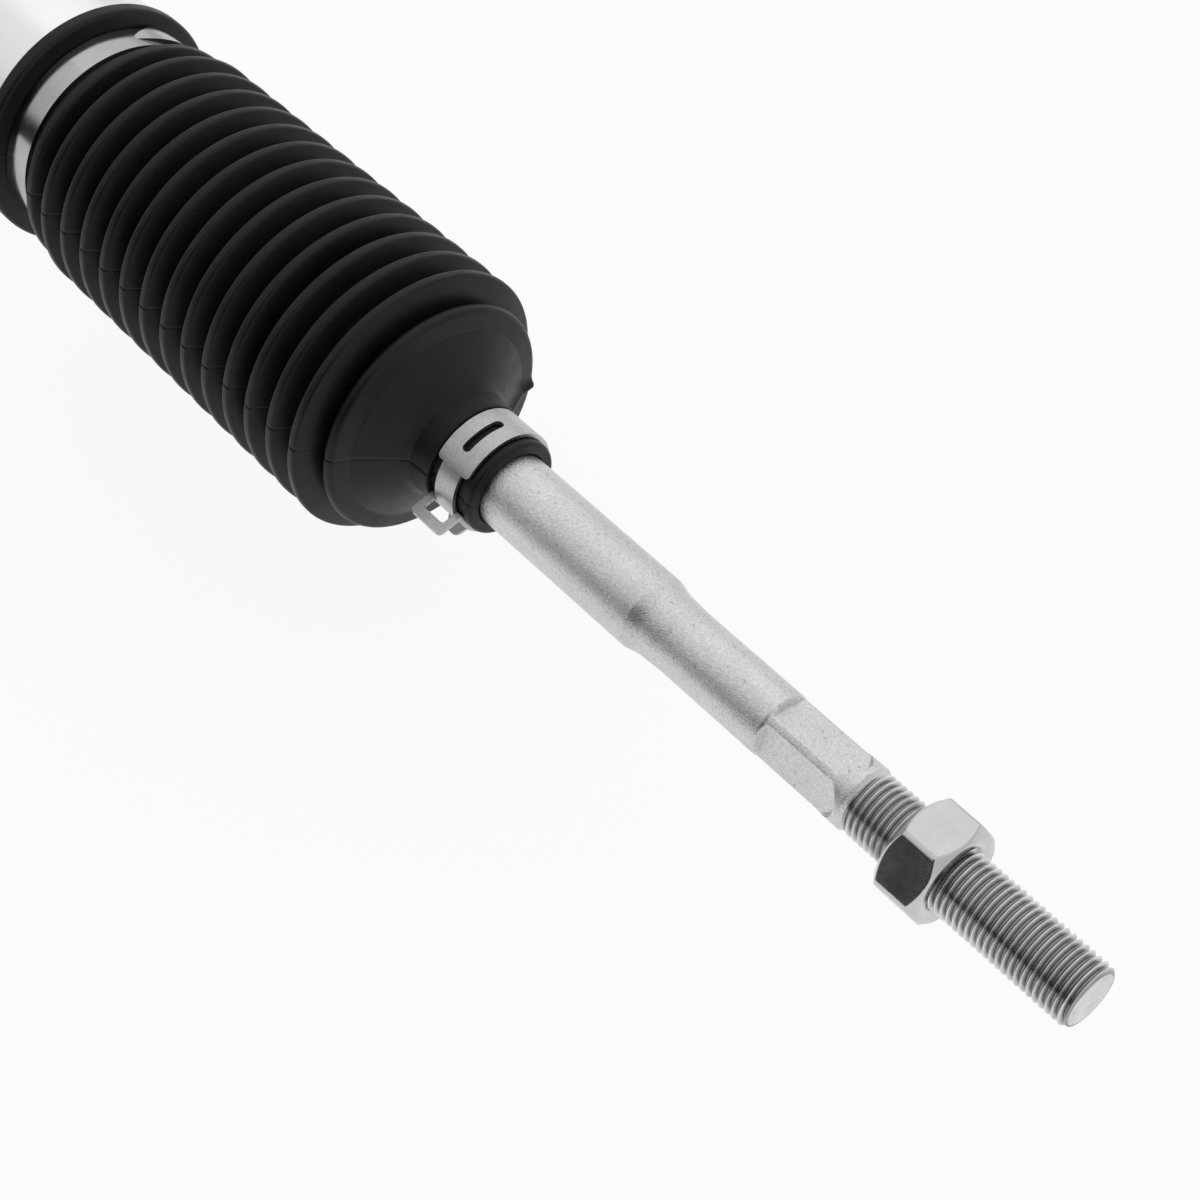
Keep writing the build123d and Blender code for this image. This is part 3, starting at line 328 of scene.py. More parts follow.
class Nodes:
    """Short calls for the nodes that the materials share."""

    def __init__(self, name, **values):
        self.material, self.shader = new_material(name)
        self.tree = self.material.node_tree
        self.coords = self.tree.nodes.new("ShaderNodeTexCoord").outputs["Object"]
        for key, value in values.items():
            self.shader.inputs[key.replace("_", " ")].default_value = value

    def link(self, a, b):
        """Joins an output to an input."""
        self.tree.links.new(a, b)

    def stretched(self, scale):
        """Object coordinates scaled differently along each axis."""
        node = self.tree.nodes.new("ShaderNodeMapping")
        node.inputs["Scale"].default_value = scale
        self.link(self.coords, node.inputs["Vector"])
        return node.outputs["Vector"]

    def noise(self, scale, detail=2.0, roughness=0.5, vector=None):
        """Cloudy noise, 0 to 1."""
        node = self.tree.nodes.new("ShaderNodeTexNoise")
        node.inputs["Scale"].default_value = scale
        node.inputs["Detail"].default_value = detail
        node.inputs["Roughness"].default_value = roughness
        self.link(vector or self.coords, node.inputs["Vector"])
        return node.outputs["Fac"]

    def cells(self, scale, output="Color", vector=None):
        """Cells, each with its own random shade, or the distance from their middles."""
        node = self.tree.nodes.new("ShaderNodeTexVoronoi")
        node.inputs["Scale"].default_value = scale
        self.link(vector or self.coords, node.inputs["Vector"])
        return node.outputs[output]

    def ramp(self, fac, stops):
        """Colour ramp; stops are (position, grey or colour)."""
        node = self.tree.nodes.new("ShaderNodeValToRGB")
        elements = node.color_ramp.elements
        while len(elements) < len(stops):
            elements.new(0.5)
        for element, (position, value) in zip(elements, stops):
            element.position = position
            colour = value if isinstance(value, tuple) else (value, value, value)
            element.color = (*colour, 1.0)
        self.link(fac, node.inputs["Fac"])
        return node.outputs["Color"]

    def math(self, operation, a, b=None):
        """One sum with outputs or plain numbers."""
        node = self.tree.nodes.new("ShaderNodeMath")
        node.operation = operation
        for socket, value in zip(node.inputs, (a, b)):
            if value is None:
                continue
            if isinstance(value, (int, float)):
                socket.default_value = value
            else:
                self.link(value, socket)
        return node.outputs["Value"]

    def mix(self, fac, a, b, blend="MIX"):
        """Mix of two colours, each an output, a colour or left to a number."""
        node = self.tree.nodes.new("ShaderNodeMix")
        node.data_type = "RGBA"
        node.blend_type = blend
        pairs = ((node.inputs[0], fac), (node.inputs[6], a), (node.inputs[7], b))
        for socket, value in pairs:
            if isinstance(value, (int, float)):
                socket.default_value = value
            elif isinstance(value, tuple):
                socket.default_value = (*value, 1.0)
            else:
                self.link(value, socket)
        return node.outputs[2]

    def separate(self):
        """The three object coordinates in metres."""
        node = self.tree.nodes.new("ShaderNodeSeparateXYZ")
        self.link(self.coords, node.inputs[0])
        return node.outputs

    def bump(self, height, strength, distance, below=None):
        """Bump over another one, the distance in metres."""
        node = self.tree.nodes.new("ShaderNodeBump")
        node.inputs["Strength"].default_value = strength
        node.inputs["Distance"].default_value = distance
        self.link(height, node.inputs["Height"])
        if below is not None:
            self.link(below, node.inputs["Normal"])
        return node.outputs["Normal"]

    def colour(self, output):
        """Drives the base colour."""
        self.link(output, self.shader.inputs["Base Color"])

    def rough(self, output):
        """Drives the roughness."""
        self.link(output, self.shader.inputs["Roughness"])

    def normal(self, output):
        """Drives the normal."""
        self.link(output, self.shader.inputs["Normal"])


def rubber(name, dark, light, roughness, dust):
    """Moulded black rubber: cloudy sheen, fine skin, a few dust specks."""
    n = Nodes(name, Specular_IOR_Level=0.24)
    cloud = n.noise(70, 4, 0.6)
    base = n.ramp(cloud, [(0.3, dark), (0.72, light)])
    near = n.cells(620, "Distance")
    speck = n.ramp(near, [(0.0, 1.0), (0.06, 0.0)])
    sparse = n.ramp(n.noise(55, 2), [(0.6, 0.0), (0.64, 1.0)])
    amount = n.math("MULTIPLY", n.math("MULTIPLY", speck, sparse), dust)
    n.colour(n.mix(amount, base, (0.34, 0.34, 0.34)))
    n.rough(n.ramp(n.noise(240, 3, 0.6), [(0.3, roughness - 0.05), (0.7, roughness + 0.05)]))
    skin = n.noise(4200, 3, 0.7)
    flow = n.noise(320, 3, 0.5)
    n.normal(n.bump(skin, 0.35, 0.00003, n.bump(flow, 0.2, 0.00008)))
    return n.material


def metal(name, dark, light, roughness, grain_scale, grain_depth, spread=0.05, cells=True, scale=None):
    """Metal with a grain of its own size: cells for blasted or plated skins, noise for turned ones."""
    n = Nodes(name, Metallic=1.0)
    vector = n.stretched(scale) if scale else None
    cloud = n.noise(45, 4, 0.6)
    base = n.ramp(cloud, [(0.3, dark), (0.7, light)])
    if cells:
        facets = n.cells(grain_scale, "Color", vector)
        shade = n.ramp(facets, [(0.0, 1 - 4 * spread), (1.0, 1.0)])
        height = n.noise(grain_scale * 0.8, 3, 0.7, vector)
    else:
        facets = n.noise(grain_scale, 5, 0.7, vector)
        shade = n.ramp(facets, [(0.25, 1 - 3 * spread), (0.75, 1.0)])
        height = facets
    n.colour(n.mix(1.0, base, shade, "MULTIPLY"))
    n.rough(n.ramp(n.noise(180, 4, 0.6), [(0.3, roughness - spread), (0.7, roughness + spread)]))
    n.normal(n.bump(height, 0.6, grain_depth))
    return n.material


def blasted_steel():
    """Shot-blasted, zinc-plated forging: sparkling grain of a quarter millimetre over shallow scale."""
    n = Nodes("blasted_steel", Metallic=1.0)
    base = n.ramp(n.noise(38, 4, 0.6), [(0.3, (0.68, 0.69, 0.69)), (0.7, (0.77, 0.78, 0.785))])
    grain = n.ramp(n.cells(3600, "Color"), [(0.0, 0.70), (1.0, 1.0)])
    pit = n.ramp(n.noise(900, 3, 0.6), [(0.30, 0.72), (0.38, 1.0)])
    n.colour(n.mix(1.0, n.mix(1.0, base, grain, "MULTIPLY"), pit, "MULTIPLY"))
    n.rough(n.ramp(n.noise(1400, 3, 0.6), [(0.3, 0.24), (0.7, 0.36)]))
    fine = n.noise(2600, 2, 0.8)
    scale = n.noise(420, 3, 0.55)
    n.normal(n.bump(fine, 1.0, 0.00012, n.bump(scale, 0.4, 0.00010)))
    return n.material


def thread_steel():
    """Rolled thread: painted highlight on the crests and painted shade in the roots, fine scratches along the
    turns.
    """
    n = Nodes("thread_steel", Metallic=1.0)
    _, y, z = n.separate()
    lift = n.math("SUBTRACT", z, RACK_Z * MM)
    reach = n.math("SQRT", n.math("ADD", n.math("MULTIPLY", y, y), n.math("MULTIPLY", lift, lift)))
    # Painted shade in the roots and painted highlight on the crests, set by the distance from the rod's axis in
    # units of 10 mm: end face, root, flank and crest
    turn = n.ramp(n.math("MULTIPLY", reach, 100.0), [(0.57, 0.85), (0.60, 0.28), (0.65, 0.60), (0.69, 1.0)])
    patches = n.ramp(n.noise(60, 4, 0.65), [(0.3, 0.74), (0.7, 0.92)])
    # Patches times the painted root shade and crest highlight
    base = n.mix(1.0, patches, turn, "MULTIPLY")
    lines = n.noise(1.0, 4, 0.7, n.stretched((9000, 260, 260)))
    n.colour(n.mix(1.0, base, n.ramp(lines, [(0.3, 0.72), (0.7, 1.0)]), "MULTIPLY"))
    n.rough(n.ramp(n.noise(300, 3), [(0.3, 0.2), (0.7, 0.32)]))
    n.normal(n.bump(lines, 0.7, 0.00002, n.bump(n.noise(1500, 3), 0.4, 0.00002)))
    return n.material


def cast_aluminium():
    """Shot-blasted casting with turned bands at the machined collars."""
    n = Nodes("cast_aluminium", Metallic=1.0)
    along = n.math("ABSOLUTE", n.separate()[0])
    # Machined from this station outward, in metres
    machined = n.ramp(along, [(0.214, 0.0), (0.2145, 1.0)])
    cloud = n.noise(30, 5, 0.6)
    base = n.ramp(cloud, [(0.3, (0.60, 0.61, 0.62)), (0.7, (0.72, 0.725, 0.73))])
    speckle = n.ramp(n.cells(1300, "Color"), [(0.0, 0.84), (1.0, 1.0)])
    rough_skin = n.mix(1.0, base, speckle, "MULTIPLY")
    stain = n.ramp(n.noise(42, 5, 0.7), [(0.30, (0.62, 0.63, 0.64)), (0.42, (0.84, 0.845, 0.85))])
    n.colour(n.mix(machined, rough_skin, stain))
    soft = n.ramp(n.noise(150, 4), [(0.3, 0.44), (0.7, 0.56)])
    turned = n.ramp(n.noise(60, 4), [(0.3, 0.25), (0.7, 0.33)])
    n.rough(n.mix(machined, soft, turned))
    grain = n.noise(950, 4, 0.7)
    lines = n.noise(1.0, 3, 0.6, n.stretched((2600, 60, 60)))
    height = n.mix(machined, grain, n.mix(0.12, (0.5, 0.5, 0.5), lines))
    n.normal(n.bump(height, 0.55, 0.00016))
    return n.material


def acetal():
    """Off-white bearing plastic."""
    n = Nodes("acetal", Subsurface_Weight=0.05)
    n.colour(n.ramp(n.noise(120, 3), [(0.3, (0.74, 0.72, 0.66)), (0.7, (0.82, 0.80, 0.75))]))
    n.rough(n.ramp(n.noise(400, 2), [(0.3, 0.38), (0.7, 0.5)]))
    n.normal(n.bump(n.noise(2200, 2), 0.2, 0.00002))
    return n.material


def make_materials():
    """All materials by their slot's name."""
    return {
        "cast_aluminium": cast_aluminium(),
        "machined_aluminium": metal("machined_aluminium", 0.64, 0.74, 0.3, 700, 0.00002, 0.03, False, (4, 1, 1)),
        "boot_rubber": rubber("boot_rubber", 0.004, 0.0075, 0.42, 0.8),
        "bush_rubber": rubber("bush_rubber", 0.012, 0.02, 0.6, 0.3),
        "seal_rubber": rubber("seal_rubber", 0.01, 0.017, 0.45, 0.3),
        "blasted_steel": blasted_steel(),
        "thread_steel": thread_steel(),
        "bright_zinc": metal("bright_zinc", 0.55, 0.63, 0.17, 700, 0.000014, 0.03, False),
        "dull_zinc": metal("dull_zinc", 0.48, 0.60, 0.36, 2600, 0.00006, 0.055),
        "zinc_steel": metal("zinc_steel", 0.58, 0.68, 0.3, 1200, 0.00002, 0.04),
        "stainless_band": metal("stainless_band", 0.36, 0.52, 0.14, 400, 0.00001, 0.04, False, (6, 1, 1)),
        "forged_steel": metal("forged_steel", 0.26, 0.36, 0.38, 800, 0.00003, 0.05),
        "ground_steel": metal("ground_steel", 0.50, 0.60, 0.22, 1500, 0.000008, 0.03, False, (1, 6, 6)),
        "bearing_steel": metal("bearing_steel", 0.62, 0.68, 0.12, 900, 0.000004, 0.02, False),
        "spring_steel": metal("spring_steel", 0.2, 0.3, 0.3, 900, 0.00002, 0.04),
        "acetal": acetal(),
    }


def slot_of(node_name):
    """Material slot that the record gives a CAD node."""
    return next(row["material_slot"] for row in frame["record"]["subparts"] if row["node"] == node_name)


def dress(piece, material):
    """Gives a piece one material."""
    piece.data.materials.clear()
    piece.data.materials.append(material)


MATERIALS = make_materials()
for node_name, cad_node in frame["nodes"].items():
    dress(cad_node, MATERIALS[slot_of(node_name)])


# Boots

def crest(i):
    """Station and outer radius of one fold."""
    radius = FIRST_CREST_R if i == 0 else SECOND_CREST_R + (i - 1) / (CREST_COUNT - 2) * CREST_GROWTH
    return FIRST_CREST_X + i * CREST_PITCH, radius


def fold_corners(first, last):
    """Corners of the folds' outside, from the valley before the first to the valley after the last."""
    corners = []
    for i in range(first, last + 1):
        x, r = crest(i)
        corners += [(x - CREST_HALF, r, FOLD_ROUND), (x + CREST_HALF, r, FOLD_ROUND)]
        if i < last:
            corners.append((x + CREST_PITCH / 2, r - FOLD_DEPTH, FOLD_ROUND))
    return corners


def valley_before(i):
    """Station and radius of the valley's bottom before a fold."""
    return crest(i)[0] - CREST_PITCH / 2, crest(i - 1)[1] - FOLD_DEPTH


def inner_folds(first, last):
    """Inside of the folds, from the last back to the first."""
    corners = []
    for i in range(last, first - 1, -1):
        x, r = crest(i)
        corners.append((x, r - WALL, INNER_FOLD_ROUND))
        if i > first:
            valley_x, valley_r = valley_before(i)
            corners.append((valley_x, valley_r - WALL, INNER_FOLD_ROUND))
    return corners


def bellows_rows():
    """Skirt, band seat and the folds up to the first seam, outside and inside."""
    outside = [(SKIRT_REAR, SKIRT_R - SKIRT_CHAMFER), (SKIRT_REAR, SKIRT_R, 1.0),
               (SKIRT_REAR + SKIRT_LENGTH, SKIRT_R, 1.3),
               (BAND_SEAT_START, BAND_SEAT_R, 0.6), (BAND_SEAT_END, BAND_SEAT_R, 0.6)]
    outside += fold_corners(0, LAST_BELLOWS_FOLD)
    seam_x, seam_r = valley_before(LAST_BELLOWS_FOLD + 1)
    outside.append((seam_x, seam_r))
    inside = [(seam_x, seam_r - WALL)] + inner_folds(0, LAST_BELLOWS_FOLD)
    inside += [(HOUSING_END - SPIGOT_SETBACK, SPIGOT_R + SPIGOT_GAP),
               (HOUSING_END - SPIGOT_LENGTH, SPIGOT_R + SPIGOT_GAP),
               (HOUSING_END - SPIGOT_LENGTH, COLLAR_R + COLLAR_GAP), (SKIRT_REAR, COLLAR_R + COLLAR_GAP)]
    return rounded(outside) + rounded(inside, 3)


def dome_rows():
    """The last folds, between the first and second seam, which both lie at a valley's bottom."""
    first = LAST_BELLOWS_FOLD + 1
    last = CREST_COUNT - 1
    seam_x, seam_r = valley_before(first)
    outside = [(seam_x, seam_r)] + fold_corners(first, last) + [(SWEEP_START, DOME_VALLEY_R)]
    inside = [(SWEEP_START, DOME_VALLEY_R - WALL)] + inner_folds(first, last)
    inside.append((seam_x, seam_r - WALL))
    return rounded(outside) + rounded(inside, 3)


def neck_rows():
    """Dome with its conical face, neck collar, clamp seat and lip."""
    lip_start = LIP_X - LIP_LENGTH
    outside = [(SWEEP_START, DOME_VALLEY_R)] + [(DOME_X + d, r, rounding) for d, r, rounding in DOME_FACE]
    outside += NECK_COLLAR
    outside += [(lip_start, NECK_R, 0.2), (lip_start, LIP_R, 0.5), (LIP_X, LIP_R, 0.9), (LIP_X, ROD_CLEAR_R)]
    inside = [(LIP_X, ROD_CLEAR_R), (NECK_BORE_START, ROD_CLEAR_R, 1.5)]
    inside += [(DOME_X + d, r, rounding) for d, r, rounding in DOME_INSIDE]
    inside.append((SWEEP_START, DOME_VALLEY_R - WALL))
    return rounded(outside, 8) + rounded(inside, 4)[1:]


def mould_relief(x, r, a):
    """Fine groove at the mould's parting line, and the thin web down the dome on one side."""
    if r < BAND_SEAT_R - 4 and x < DOME_X - 2:
        return 0.0, 0.0
    dx, dr = 0.0, 0.0
    for centre in PARTING_ANGLES:
        off = radians(angle_from(a, centre)) * r
        dr -= PARTING_DEPTH * np.exp(-(off / PARTING_HALF) ** 2)
    if x > DOME_X + WEB_START and r > WEB_FOOT_R:
        off = radians(angle_from(a, WEB_ANGLE)) * r
        dx += WEB_HEIGHT * np.exp(-(off / WEB_HALF) ** 2)
    return dx, dr


def make_boots():
    """Both boots, each in three parts."""
    angles = angle_list(176, PARTING_ANGLES)
    for label, side in SIDES:
        parts = (("boot_bellows", bellows_rows(), "housing", "rack", SLIDE_START, SWING_START),
                 ("boot_dome", dome_rows(), "rack", f"{label}_ball_seat", SWING_START, SWEEP_START),
                 ("boot_neck", neck_rows(), f"{label}_ball_seat", f"{label}_tie_rod", SWEEP_START, SWEEP_END))
        for name, rows, first, second, start, end in parts:
            points, faces = ring_grid(rows, angles, mould_relief)
            piece = new_object(f"{name}_{label}", place(points, side), faces, 55)
            dress(piece, MATERIALS["boot_rubber"])
            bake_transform(piece)
            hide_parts(f"boot_{label}")


make_boots()


# Tie rods

def outside_flat(x, across):
    """Distance outside a flat's plan, which has its own corner radius at each end."""
    middle = (FLAT_START + FLAT_END) / 2
    radius = FLAT_FRONT_ROUND if x > middle else FLAT_REAR_ROUND
    side = abs(across) - (FLAT_HALF - radius)
    end = abs(x - middle) - ((FLAT_END - FLAT_START) / 2 - radius)
    if side > 0 and end > 0:
        return sqrt(side * side + end * end) - radius
    return max(side, end) - radius


def rod_relief(x, r, a):
    """Cuts the four flats into the bar, and draws the ridges between them in a little."""
    if not FLAT_START - FLAT_MARGIN < x < FLAT_END + FLAT_MARGIN:
        return 0.0, 0.0
    inset = max(min(x - FLAT_START + 1.0, (FLAT_END - 1.5 - x) * RIDGE_RUN_OUT), 0.0)
    lowest = smooth_min(r, max(RIDGE_R, r - RIDGE_SLOPE * inset), RIDGE_SOFTNESS)
    for i in range(4):
        off = radians(angle_from(a, FLAT_NORMAL + 90 * i))
        if off > radians(FLAT_REACH):
            continue
        cut = lowest
        for _ in range(3):
            height = FLAT_HALF + FLAT_WALL_SLOPE * max(outside_flat(x, cut * sin(off)), 0.0)
            cut = min(lowest, height / cos(off))
        lowest = smooth_min(lowest, height / cos(off), FLAT_SOFTNESS)
    return 0.0, lowest - r


def rod_rows():
    """Ball, neck, shank, shoulder and bar up to the thread."""
    touch = sqrt(BALL_R ** 2 - STUD_NECK_R ** 2)
    ball = []
    for a in spread(180, degrees(atan2(STUD_NECK_R, touch)), 5):
        ball.append((BALL_X + BALL_R * cos(radians(a)), max(BALL_R * sin(radians(a)), 0.001)))
    shaft = [(BALL_X + touch, STUD_NECK_R)] + [(BALL_X + d, r, rounding) for d, r, rounding in SHANK_ROWS]
    shaft.append((FLAT_START - 1.6, BAR_R))
    after = [(FLAT_END + 1.4, BAR_R), (THREAD_START - 0.9, BAR_R, 0.3), (THREAD_START - 0.1, 6.3),
             (THREAD_START + 1, 5.6), (THREAD_START + 1, 0.001)]
    wrench = spread(FLAT_START - 1.4, FLAT_START + 3.0, 0.14) + spread(FLAT_START + 3.8, FLAT_END - 7, 0.8)
    wrench += spread(FLAT_END - 6.5, FLAT_END + 1.2, 0.14)
    return ball[:-1] + rounded(shaft, 9) + [(x, BAR_R) for x in wrench] + rounded(after)


def thread_depth(phase):
    """Depth below the crest, the phase counted in pitches."""
    return np.interp(phase % 1.0, *zip(*THREAD_PROFILE))


def thread_points():
    """Thread laid out along its helix, so that the crests follow the mesh lines."""
    around = THREAD_AROUND
    turns = int((THREAD_END - THREAD_START) / THREAD_PITCH) + 3
    stations = [turn + phase for turn in range(turns) for phase in THREAD_PHASES]
    vertices = []
    for station in stations:
        for j in range(around + 1):
            x = THREAD_START + (station - 1.5 + j / around) * THREAD_PITCH
            x = min(max(x, THREAD_START), THREAD_END)
            phase = (x - THREAD_START) / THREAD_PITCH + 1.5 - j / around
            start_cap = THREAD_R - THREAD_LEAD + (x - THREAD_START) * 0.8
            cap = min(THREAD_R - THREAD_CHAMFER + (THREAD_END - x), start_cap)
            r = min(THREAD_R - thread_depth(phase), cap)
            t = 2 * pi * j / around
            vertices.append((x, r * cos(t), r * sin(t)))
    faces = []
    n = around + 1
    rows = len(stations) - 1
    for i in range(rows):
        for j in range(around):
            faces.append((i * n + j, i * n + j + 1, (i + 1) * n + j + 1, (i + 1) * n + j))
    for first, x in ((0, THREAD_START), (rows * n, THREAD_END)):
        vertices.append((x, 0.0, 0.0))
        centre = len(vertices) - 1
        faces += [(first + j, first + (j + 1) % around, centre) for j in range(around)]
    return vertices, faces


def nut_relief(x, r, a):
    """Draws a row of the jam nut in to its six flats, with soft edges all round."""
    off = radians((a - NUT_CORNER) % 60 - 30)
    flat = smooth_min(NUT_HALF / cos(off), NUT_HALF / cos(radians(60) - abs(off)), NUT_CORNER_SOFTNESS)
    return 0.0, smooth_min(flat, r, NUT_EDGE_SOFTNESS) - r


def nut_rows():
    """Outside of the jam nut's double cone, then its bore with a lead at each end."""
    end = NUT_START + NUT_THICK
    slope = 1 / tan(radians(NUT_CHAMFER_ANGLE))
    rise = [(NUT_START + d, NUT_FACE_R + d * slope) for d in spread(0.0, NUT_CONE_LENGTH, 0.1)]
    fall = [(end - d, NUT_FACE_R + d * slope) for d in spread(NUT_CONE_LENGTH, 0.0, 0.1)]
    flat = [(x, NUT_BLANK_R) for x in spread(NUT_START + 3.0, end - 3.0, 1.0)]
    mouth = NUT_BORE_R + NUT_LEAD
    bore = [(end, mouth), (end - NUT_LEAD, NUT_BORE_R), (NUT_START + NUT_LEAD, NUT_BORE_R), (NUT_START, mouth)]
    return rise + flat + fall + bore


def make_tie_rods():
    """Both tie rods, each a forged bar and its thread, with the jam nut."""
    angles = angle_list(360)
    for label, side in SIDES:
        points, faces = ring_grid(rod_rows(), angles, rod_relief)
        bar = new_object(f"tie_rod_bar_{label}", place(points, side), faces, 40)
        dress(bar, MATERIALS["blasted_steel"])
        points, faces = thread_points()
        thread = new_object(f"tie_rod_thread_{label}", place(points, side, True), faces, 35)
        dress(thread, MATERIALS["thread_steel"])
        for piece in (bar, thread):
            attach(piece, f"{label}_tie_rod")
            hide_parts(f"tie_rod_{label}")
        points, faces = ring_grid(nut_rows(), angles, nut_relief)
        nut = new_object(f"jam_nut_body_{label}", place(points, side), faces, 50)
        dress(nut, MATERIALS["bright_zinc"])
        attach(nut, f"{label}_tie_rod")
        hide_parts(f"jam_nut_{label}")


make_tie_rods()


# Input shaft

def spline_radius(z, a):
    """Serrated outside of the input shaft, drawn in at the groove for the pinch bolt."""
    tooth = abs((a * SPLINE_COUNT / 360) % 1.0 - 0.5) * 2
    r = SPLINE_ROOT_R + (SPLINE_R - SPLINE_ROOT_R) * min(max((tooth - 0.2) / 0.6, 0.0), 1.0)
    away = abs(z - (SPLINE_START + SHAFT_TOP) / 2)
    if away < PINCH_GROOVE_R:
        r = min(r, PINCH_GROOVE_X - sqrt(PINCH_GROOVE_R ** 2 - away ** 2))
    chamfer = min(z - SPLINE_START, SPLINE_END - z)
    return min(r, SPLINE_NECK_R + chamfer)


def shaft_point(x, y, z):
    """Point of the tilted input shaft's own frame, in metres."""
    t = radians(SHAFT_TILT)
    foot = SHAFT_FOOT
    return ((foot[0] + x * cos(t) + z * sin(t)) * MM, (foot[1] + y) * MM, (foot[2] - x * sin(t) + z * cos(t)) * MM)


def make_input_shaft():
    """The pinion's own shape below the splines, and the splined end above."""
    slot_name = slot_of("pinion")
    work = bmesh.new()
    work.from_mesh(frame["nodes"]["pinion"].data)
    bmesh.ops.remove_doubles(work, verts=work.verts, dist=1e-6)
    up = Vector(shaft_point(0, 0, 1)) - Vector(shaft_point(0, 0, 0))
    geometry = work.verts[:] + work.edges[:] + work.faces[:]
    bmesh.ops.bisect_plane(work, geom=geometry, plane_co=shaft_point(0, 0, SPLINE_START - 1), plane_no=up,
                           clear_outer=True)
    bmesh.ops.holes_fill(work, edges=[e for e in work.edges if e.is_boundary])
    mesh = bpy.data.meshes.new("pinion_gear")
    work.to_mesh(mesh)
    work.free()
    gear = link_mesh("pinion_gear", mesh, 30)
    around = SPLINE_COUNT * 8
    stations = [SPLINE_START + d for d in (0.0, 0.5, 1.0)] + spread(SPLINE_START + 1.5, SPLINE_END - 1.5, 0.5)
    stations += [SPLINE_END - d for d in (1.0, 0.5, 0.0)]
    foot = SPLINE_START - SPLINE_SUNK
    stations.insert(0, foot)
    vertices = [shaft_point(0, 0, foot), shaft_point(0, 0, SPLINE_END)]
    for z in stations:
        for j in range(around):
            a = 360 * j / around
            r = SPLINE_NECK_R if z == foot else spline_radius(z, a)
            vertices.append(shaft_point(r * cos(radians(a)), r * sin(radians(a)), z))
    faces = []
    for i in range(len(stations) - 1):
        low = 2 + i * around
        for j in range(around):
            k = (j + 1) % around
            faces.append((low + j, low + k, low + around + k, low + around + j))
    last = 2 + (len(stations) - 1) * around
    for j in range(around):
        k = (j + 1) % around
        faces.append((2 + j, 2 + k, 0))
        faces.append((last + j, last + k, 1))
    splines = new_object("input_splines", vertices, faces, 25)
    for piece in (gear, splines):
        dress(piece, MATERIALS[slot_name])
        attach(piece, "pinion")
        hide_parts("pinion")


make_input_shaft()


# Floor, light and camera

def background_rays(tree):
    """One where a ray comes from the camera, a gloss or a clear body, so that all see the same background."""
    path = tree.nodes.new("ShaderNodeLightPath")
    total = path.outputs["Is Camera Ray"]
    for name in ("Is Glossy Ray", "Is Transmission Ray"):
        highest = tree.nodes.new("ShaderNodeMath")
        highest.operation = "MAXIMUM"
        tree.links.new(total, highest.inputs[0])
        tree.links.new(path.outputs[name], highest.inputs[1])
        total = highest.outputs[0]
    return total


def make_floor():
    """Plain white floor that keeps the object's shadow."""
    bpy.ops.mesh.primitive_plane_add(size=FLOOR_SIZE, location=(0, 0, FLOOR_Z))
    floor = bpy.context.object
    floor.name = "floor"
    material = bpy.data.materials.new("floor_white")
    material.use_nodes = True
    tree = material.node_tree
    tree.nodes.clear()
    output = tree.nodes.new("ShaderNodeOutputMaterial")
    mix = tree.nodes.new("ShaderNodeMixShader")
    plain = tree.nodes.new("ShaderNodeBsdfDiffuse")
    plain.inputs["Color"].default_value = FLOOR_GREY
    white = tree.nodes.new("ShaderNodeEmission")
    white.inputs["Color"].default_value = (1, 1, 1, 1)
    share = tree.nodes.new("ShaderNodeMath")
    share.operation = "MULTIPLY"
    share.inputs[1].default_value = WHITE_SHARE
    tree.links.new(background_rays(tree), share.inputs[0])
    tree.links.new(share.outputs[0], mix.inputs[0])
    tree.links.new(plain.outputs[0], mix.inputs[1])
    tree.links.new(white.outputs[0], mix.inputs[2])
    tree.links.new(mix.outputs[0], output.inputs["Surface"])
    floor.data.materials.append(material)


def map_range(tree, value, low, high, start, end):
    """Smooth step from start at low to end at high."""
    node = tree.nodes.new("ShaderNodeMapRange")
    node.interpolation_type = "SMOOTHSTEP"
    node.inputs["From Min"].default_value = low
    node.inputs["From Max"].default_value = high
    node.inputs["To Min"].default_value = start
    node.inputs["To Max"].default_value = end
    tree.links.new(value, node.inputs["Value"])
    return node.outputs["Result"]


def combine(tree, operation, a, b):
    """One sum with two outputs."""
    node = tree.nodes.new("ShaderNodeMath")
    node.operation = operation
    tree.links.new(a, node.inputs[0])
    tree.links.new(b, node.inputs[1])
    return node.outputs[0]


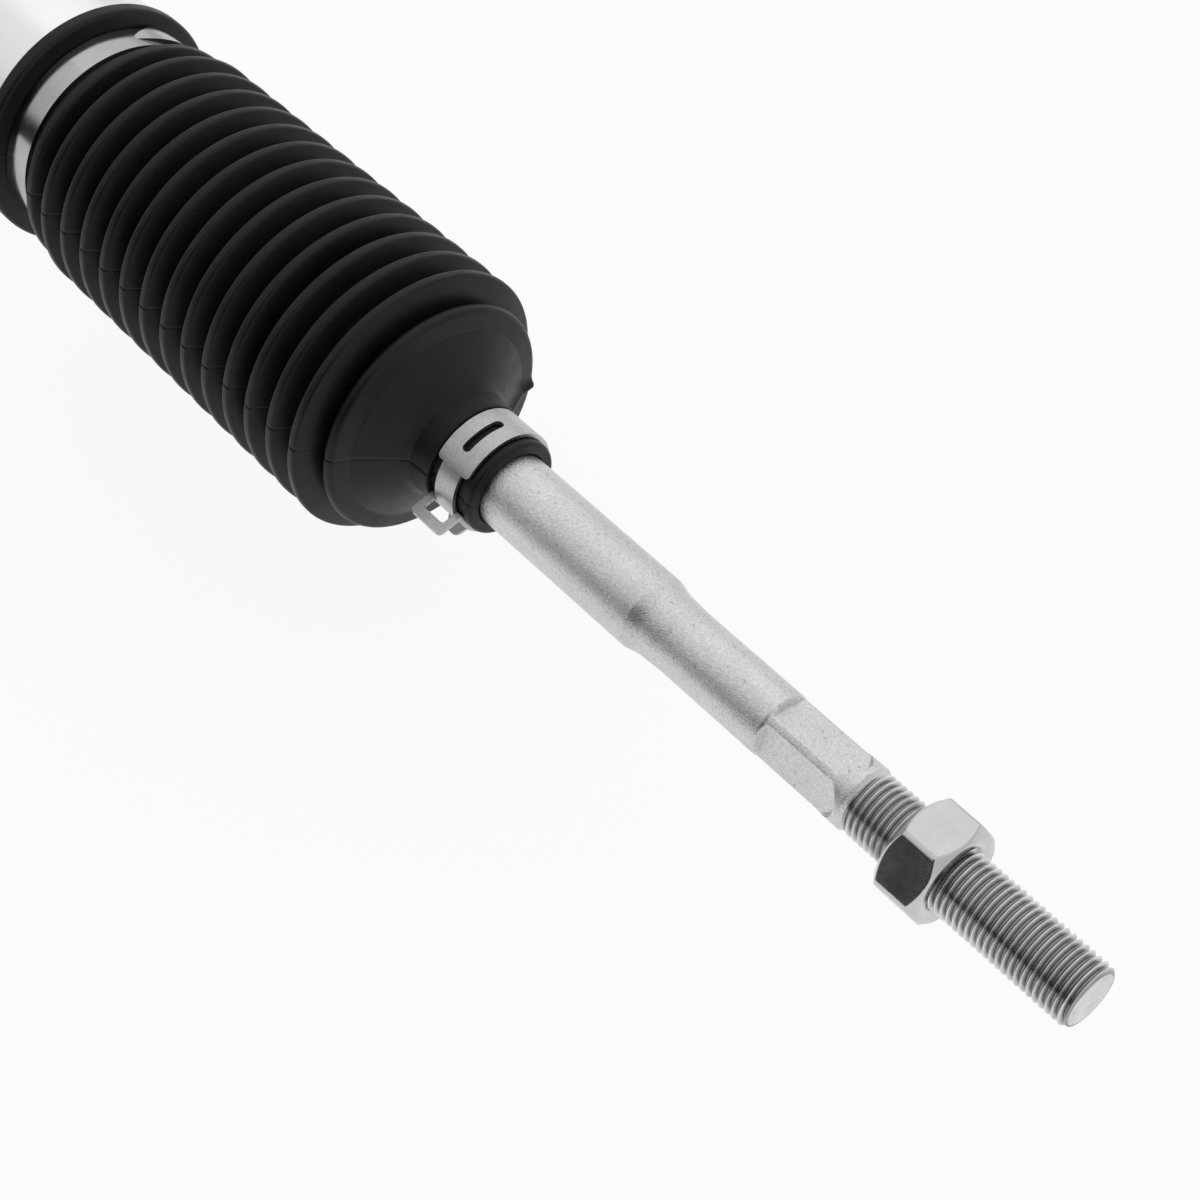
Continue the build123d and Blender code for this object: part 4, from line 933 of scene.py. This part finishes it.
def make_world():
    """Pale studio, a little brighter overhead, with a dark corner at the camera and a dark band low beside it."""
    world = bpy.data.worlds.new("studio")
    bpy.context.scene.world = world
    world.use_nodes = True
    tree = world.node_tree
    tree.nodes.clear()
    output = tree.nodes.new("ShaderNodeOutputWorld")
    light = tree.nodes.new("ShaderNodeBackground")
    coords = tree.nodes.new("ShaderNodeTexCoord")
    split = tree.nodes.new("ShaderNodeSeparateXYZ")
    aim = tree.nodes.new("ShaderNodeVectorMath")
    aim.operation = "DOT_PRODUCT"
    aim.inputs[1].default_value = DARK_CORNER
    tree.links.new(coords.outputs["Generated"], split.inputs[0])
    tree.links.new(coords.outputs["Generated"], aim.inputs[0])
    corner = map_range(tree, aim.outputs["Value"], cos(radians(DARK_CORNER_EDGE)),
                       cos(radians(DARK_CORNER_CORE)), 0.0, 1.0)
    low = map_range(tree, split.outputs["Z"], *DARK_BAND_TOP, 1.0, 0.0)
    near = map_range(tree, split.outputs["Y"], *DARK_BAND_SIDE, 1.0, 0.0)
    dark = combine(tree, "MAXIMUM", corner, combine(tree, "MULTIPLY", low, near))
    level = map_range(tree, split.outputs["Z"], 0.0, STUDIO_TOP, *STUDIO_LEVELS)
    left = map_range(tree, dark, 0.0, 1.0, 1.0, DARK_LEVEL)
    tree.links.new(combine(tree, "MULTIPLY", level, left), light.inputs["Color"])
    tree.links.new(light.outputs[0], output.inputs["Surface"])


def area_light(name, location, target, size, power):
    """Rectangular lamp that faces its target."""
    data = bpy.data.lights.new(name, "AREA")
    data.shape = "RECTANGLE"
    data.size, data.size_y = size
    data.energy = power
    lamp = bpy.data.objects.new(name, data)
    bpy.context.scene.collection.objects.link(lamp)
    lamp.location = location
    lamp.rotation_euler = (Vector(target) - Vector(location)).to_track_quat("-Z", "Y").to_euler()


def make_camera():
    """The photograph's camera."""
    data = bpy.data.cameras.new("camera")
    data.lens = CAMERA_LENS
    data.sensor_width = CAMERA_SENSOR
    data.clip_start = 0.01
    data.clip_end = 50.0
    camera = bpy.data.objects.new("camera", data)
    bpy.context.scene.collection.objects.link(camera)
    turn = Matrix((Vector(CAMERA_RIGHT), Vector(CAMERA_UP), -Vector(CAMERA_LOOK))).transposed().to_4x4()
    camera.matrix_world = Matrix.Translation(Vector(CAMERA_PLACE) * MM) @ turn
    bpy.context.scene.camera = camera


make_floor()
make_world()
area_light("key", KEY_PLACE, KEY_TARGET, KEY_SIZE, KEY_POWER)
make_camera()
bpy.context.scene.view_settings.view_transform = "Standard"
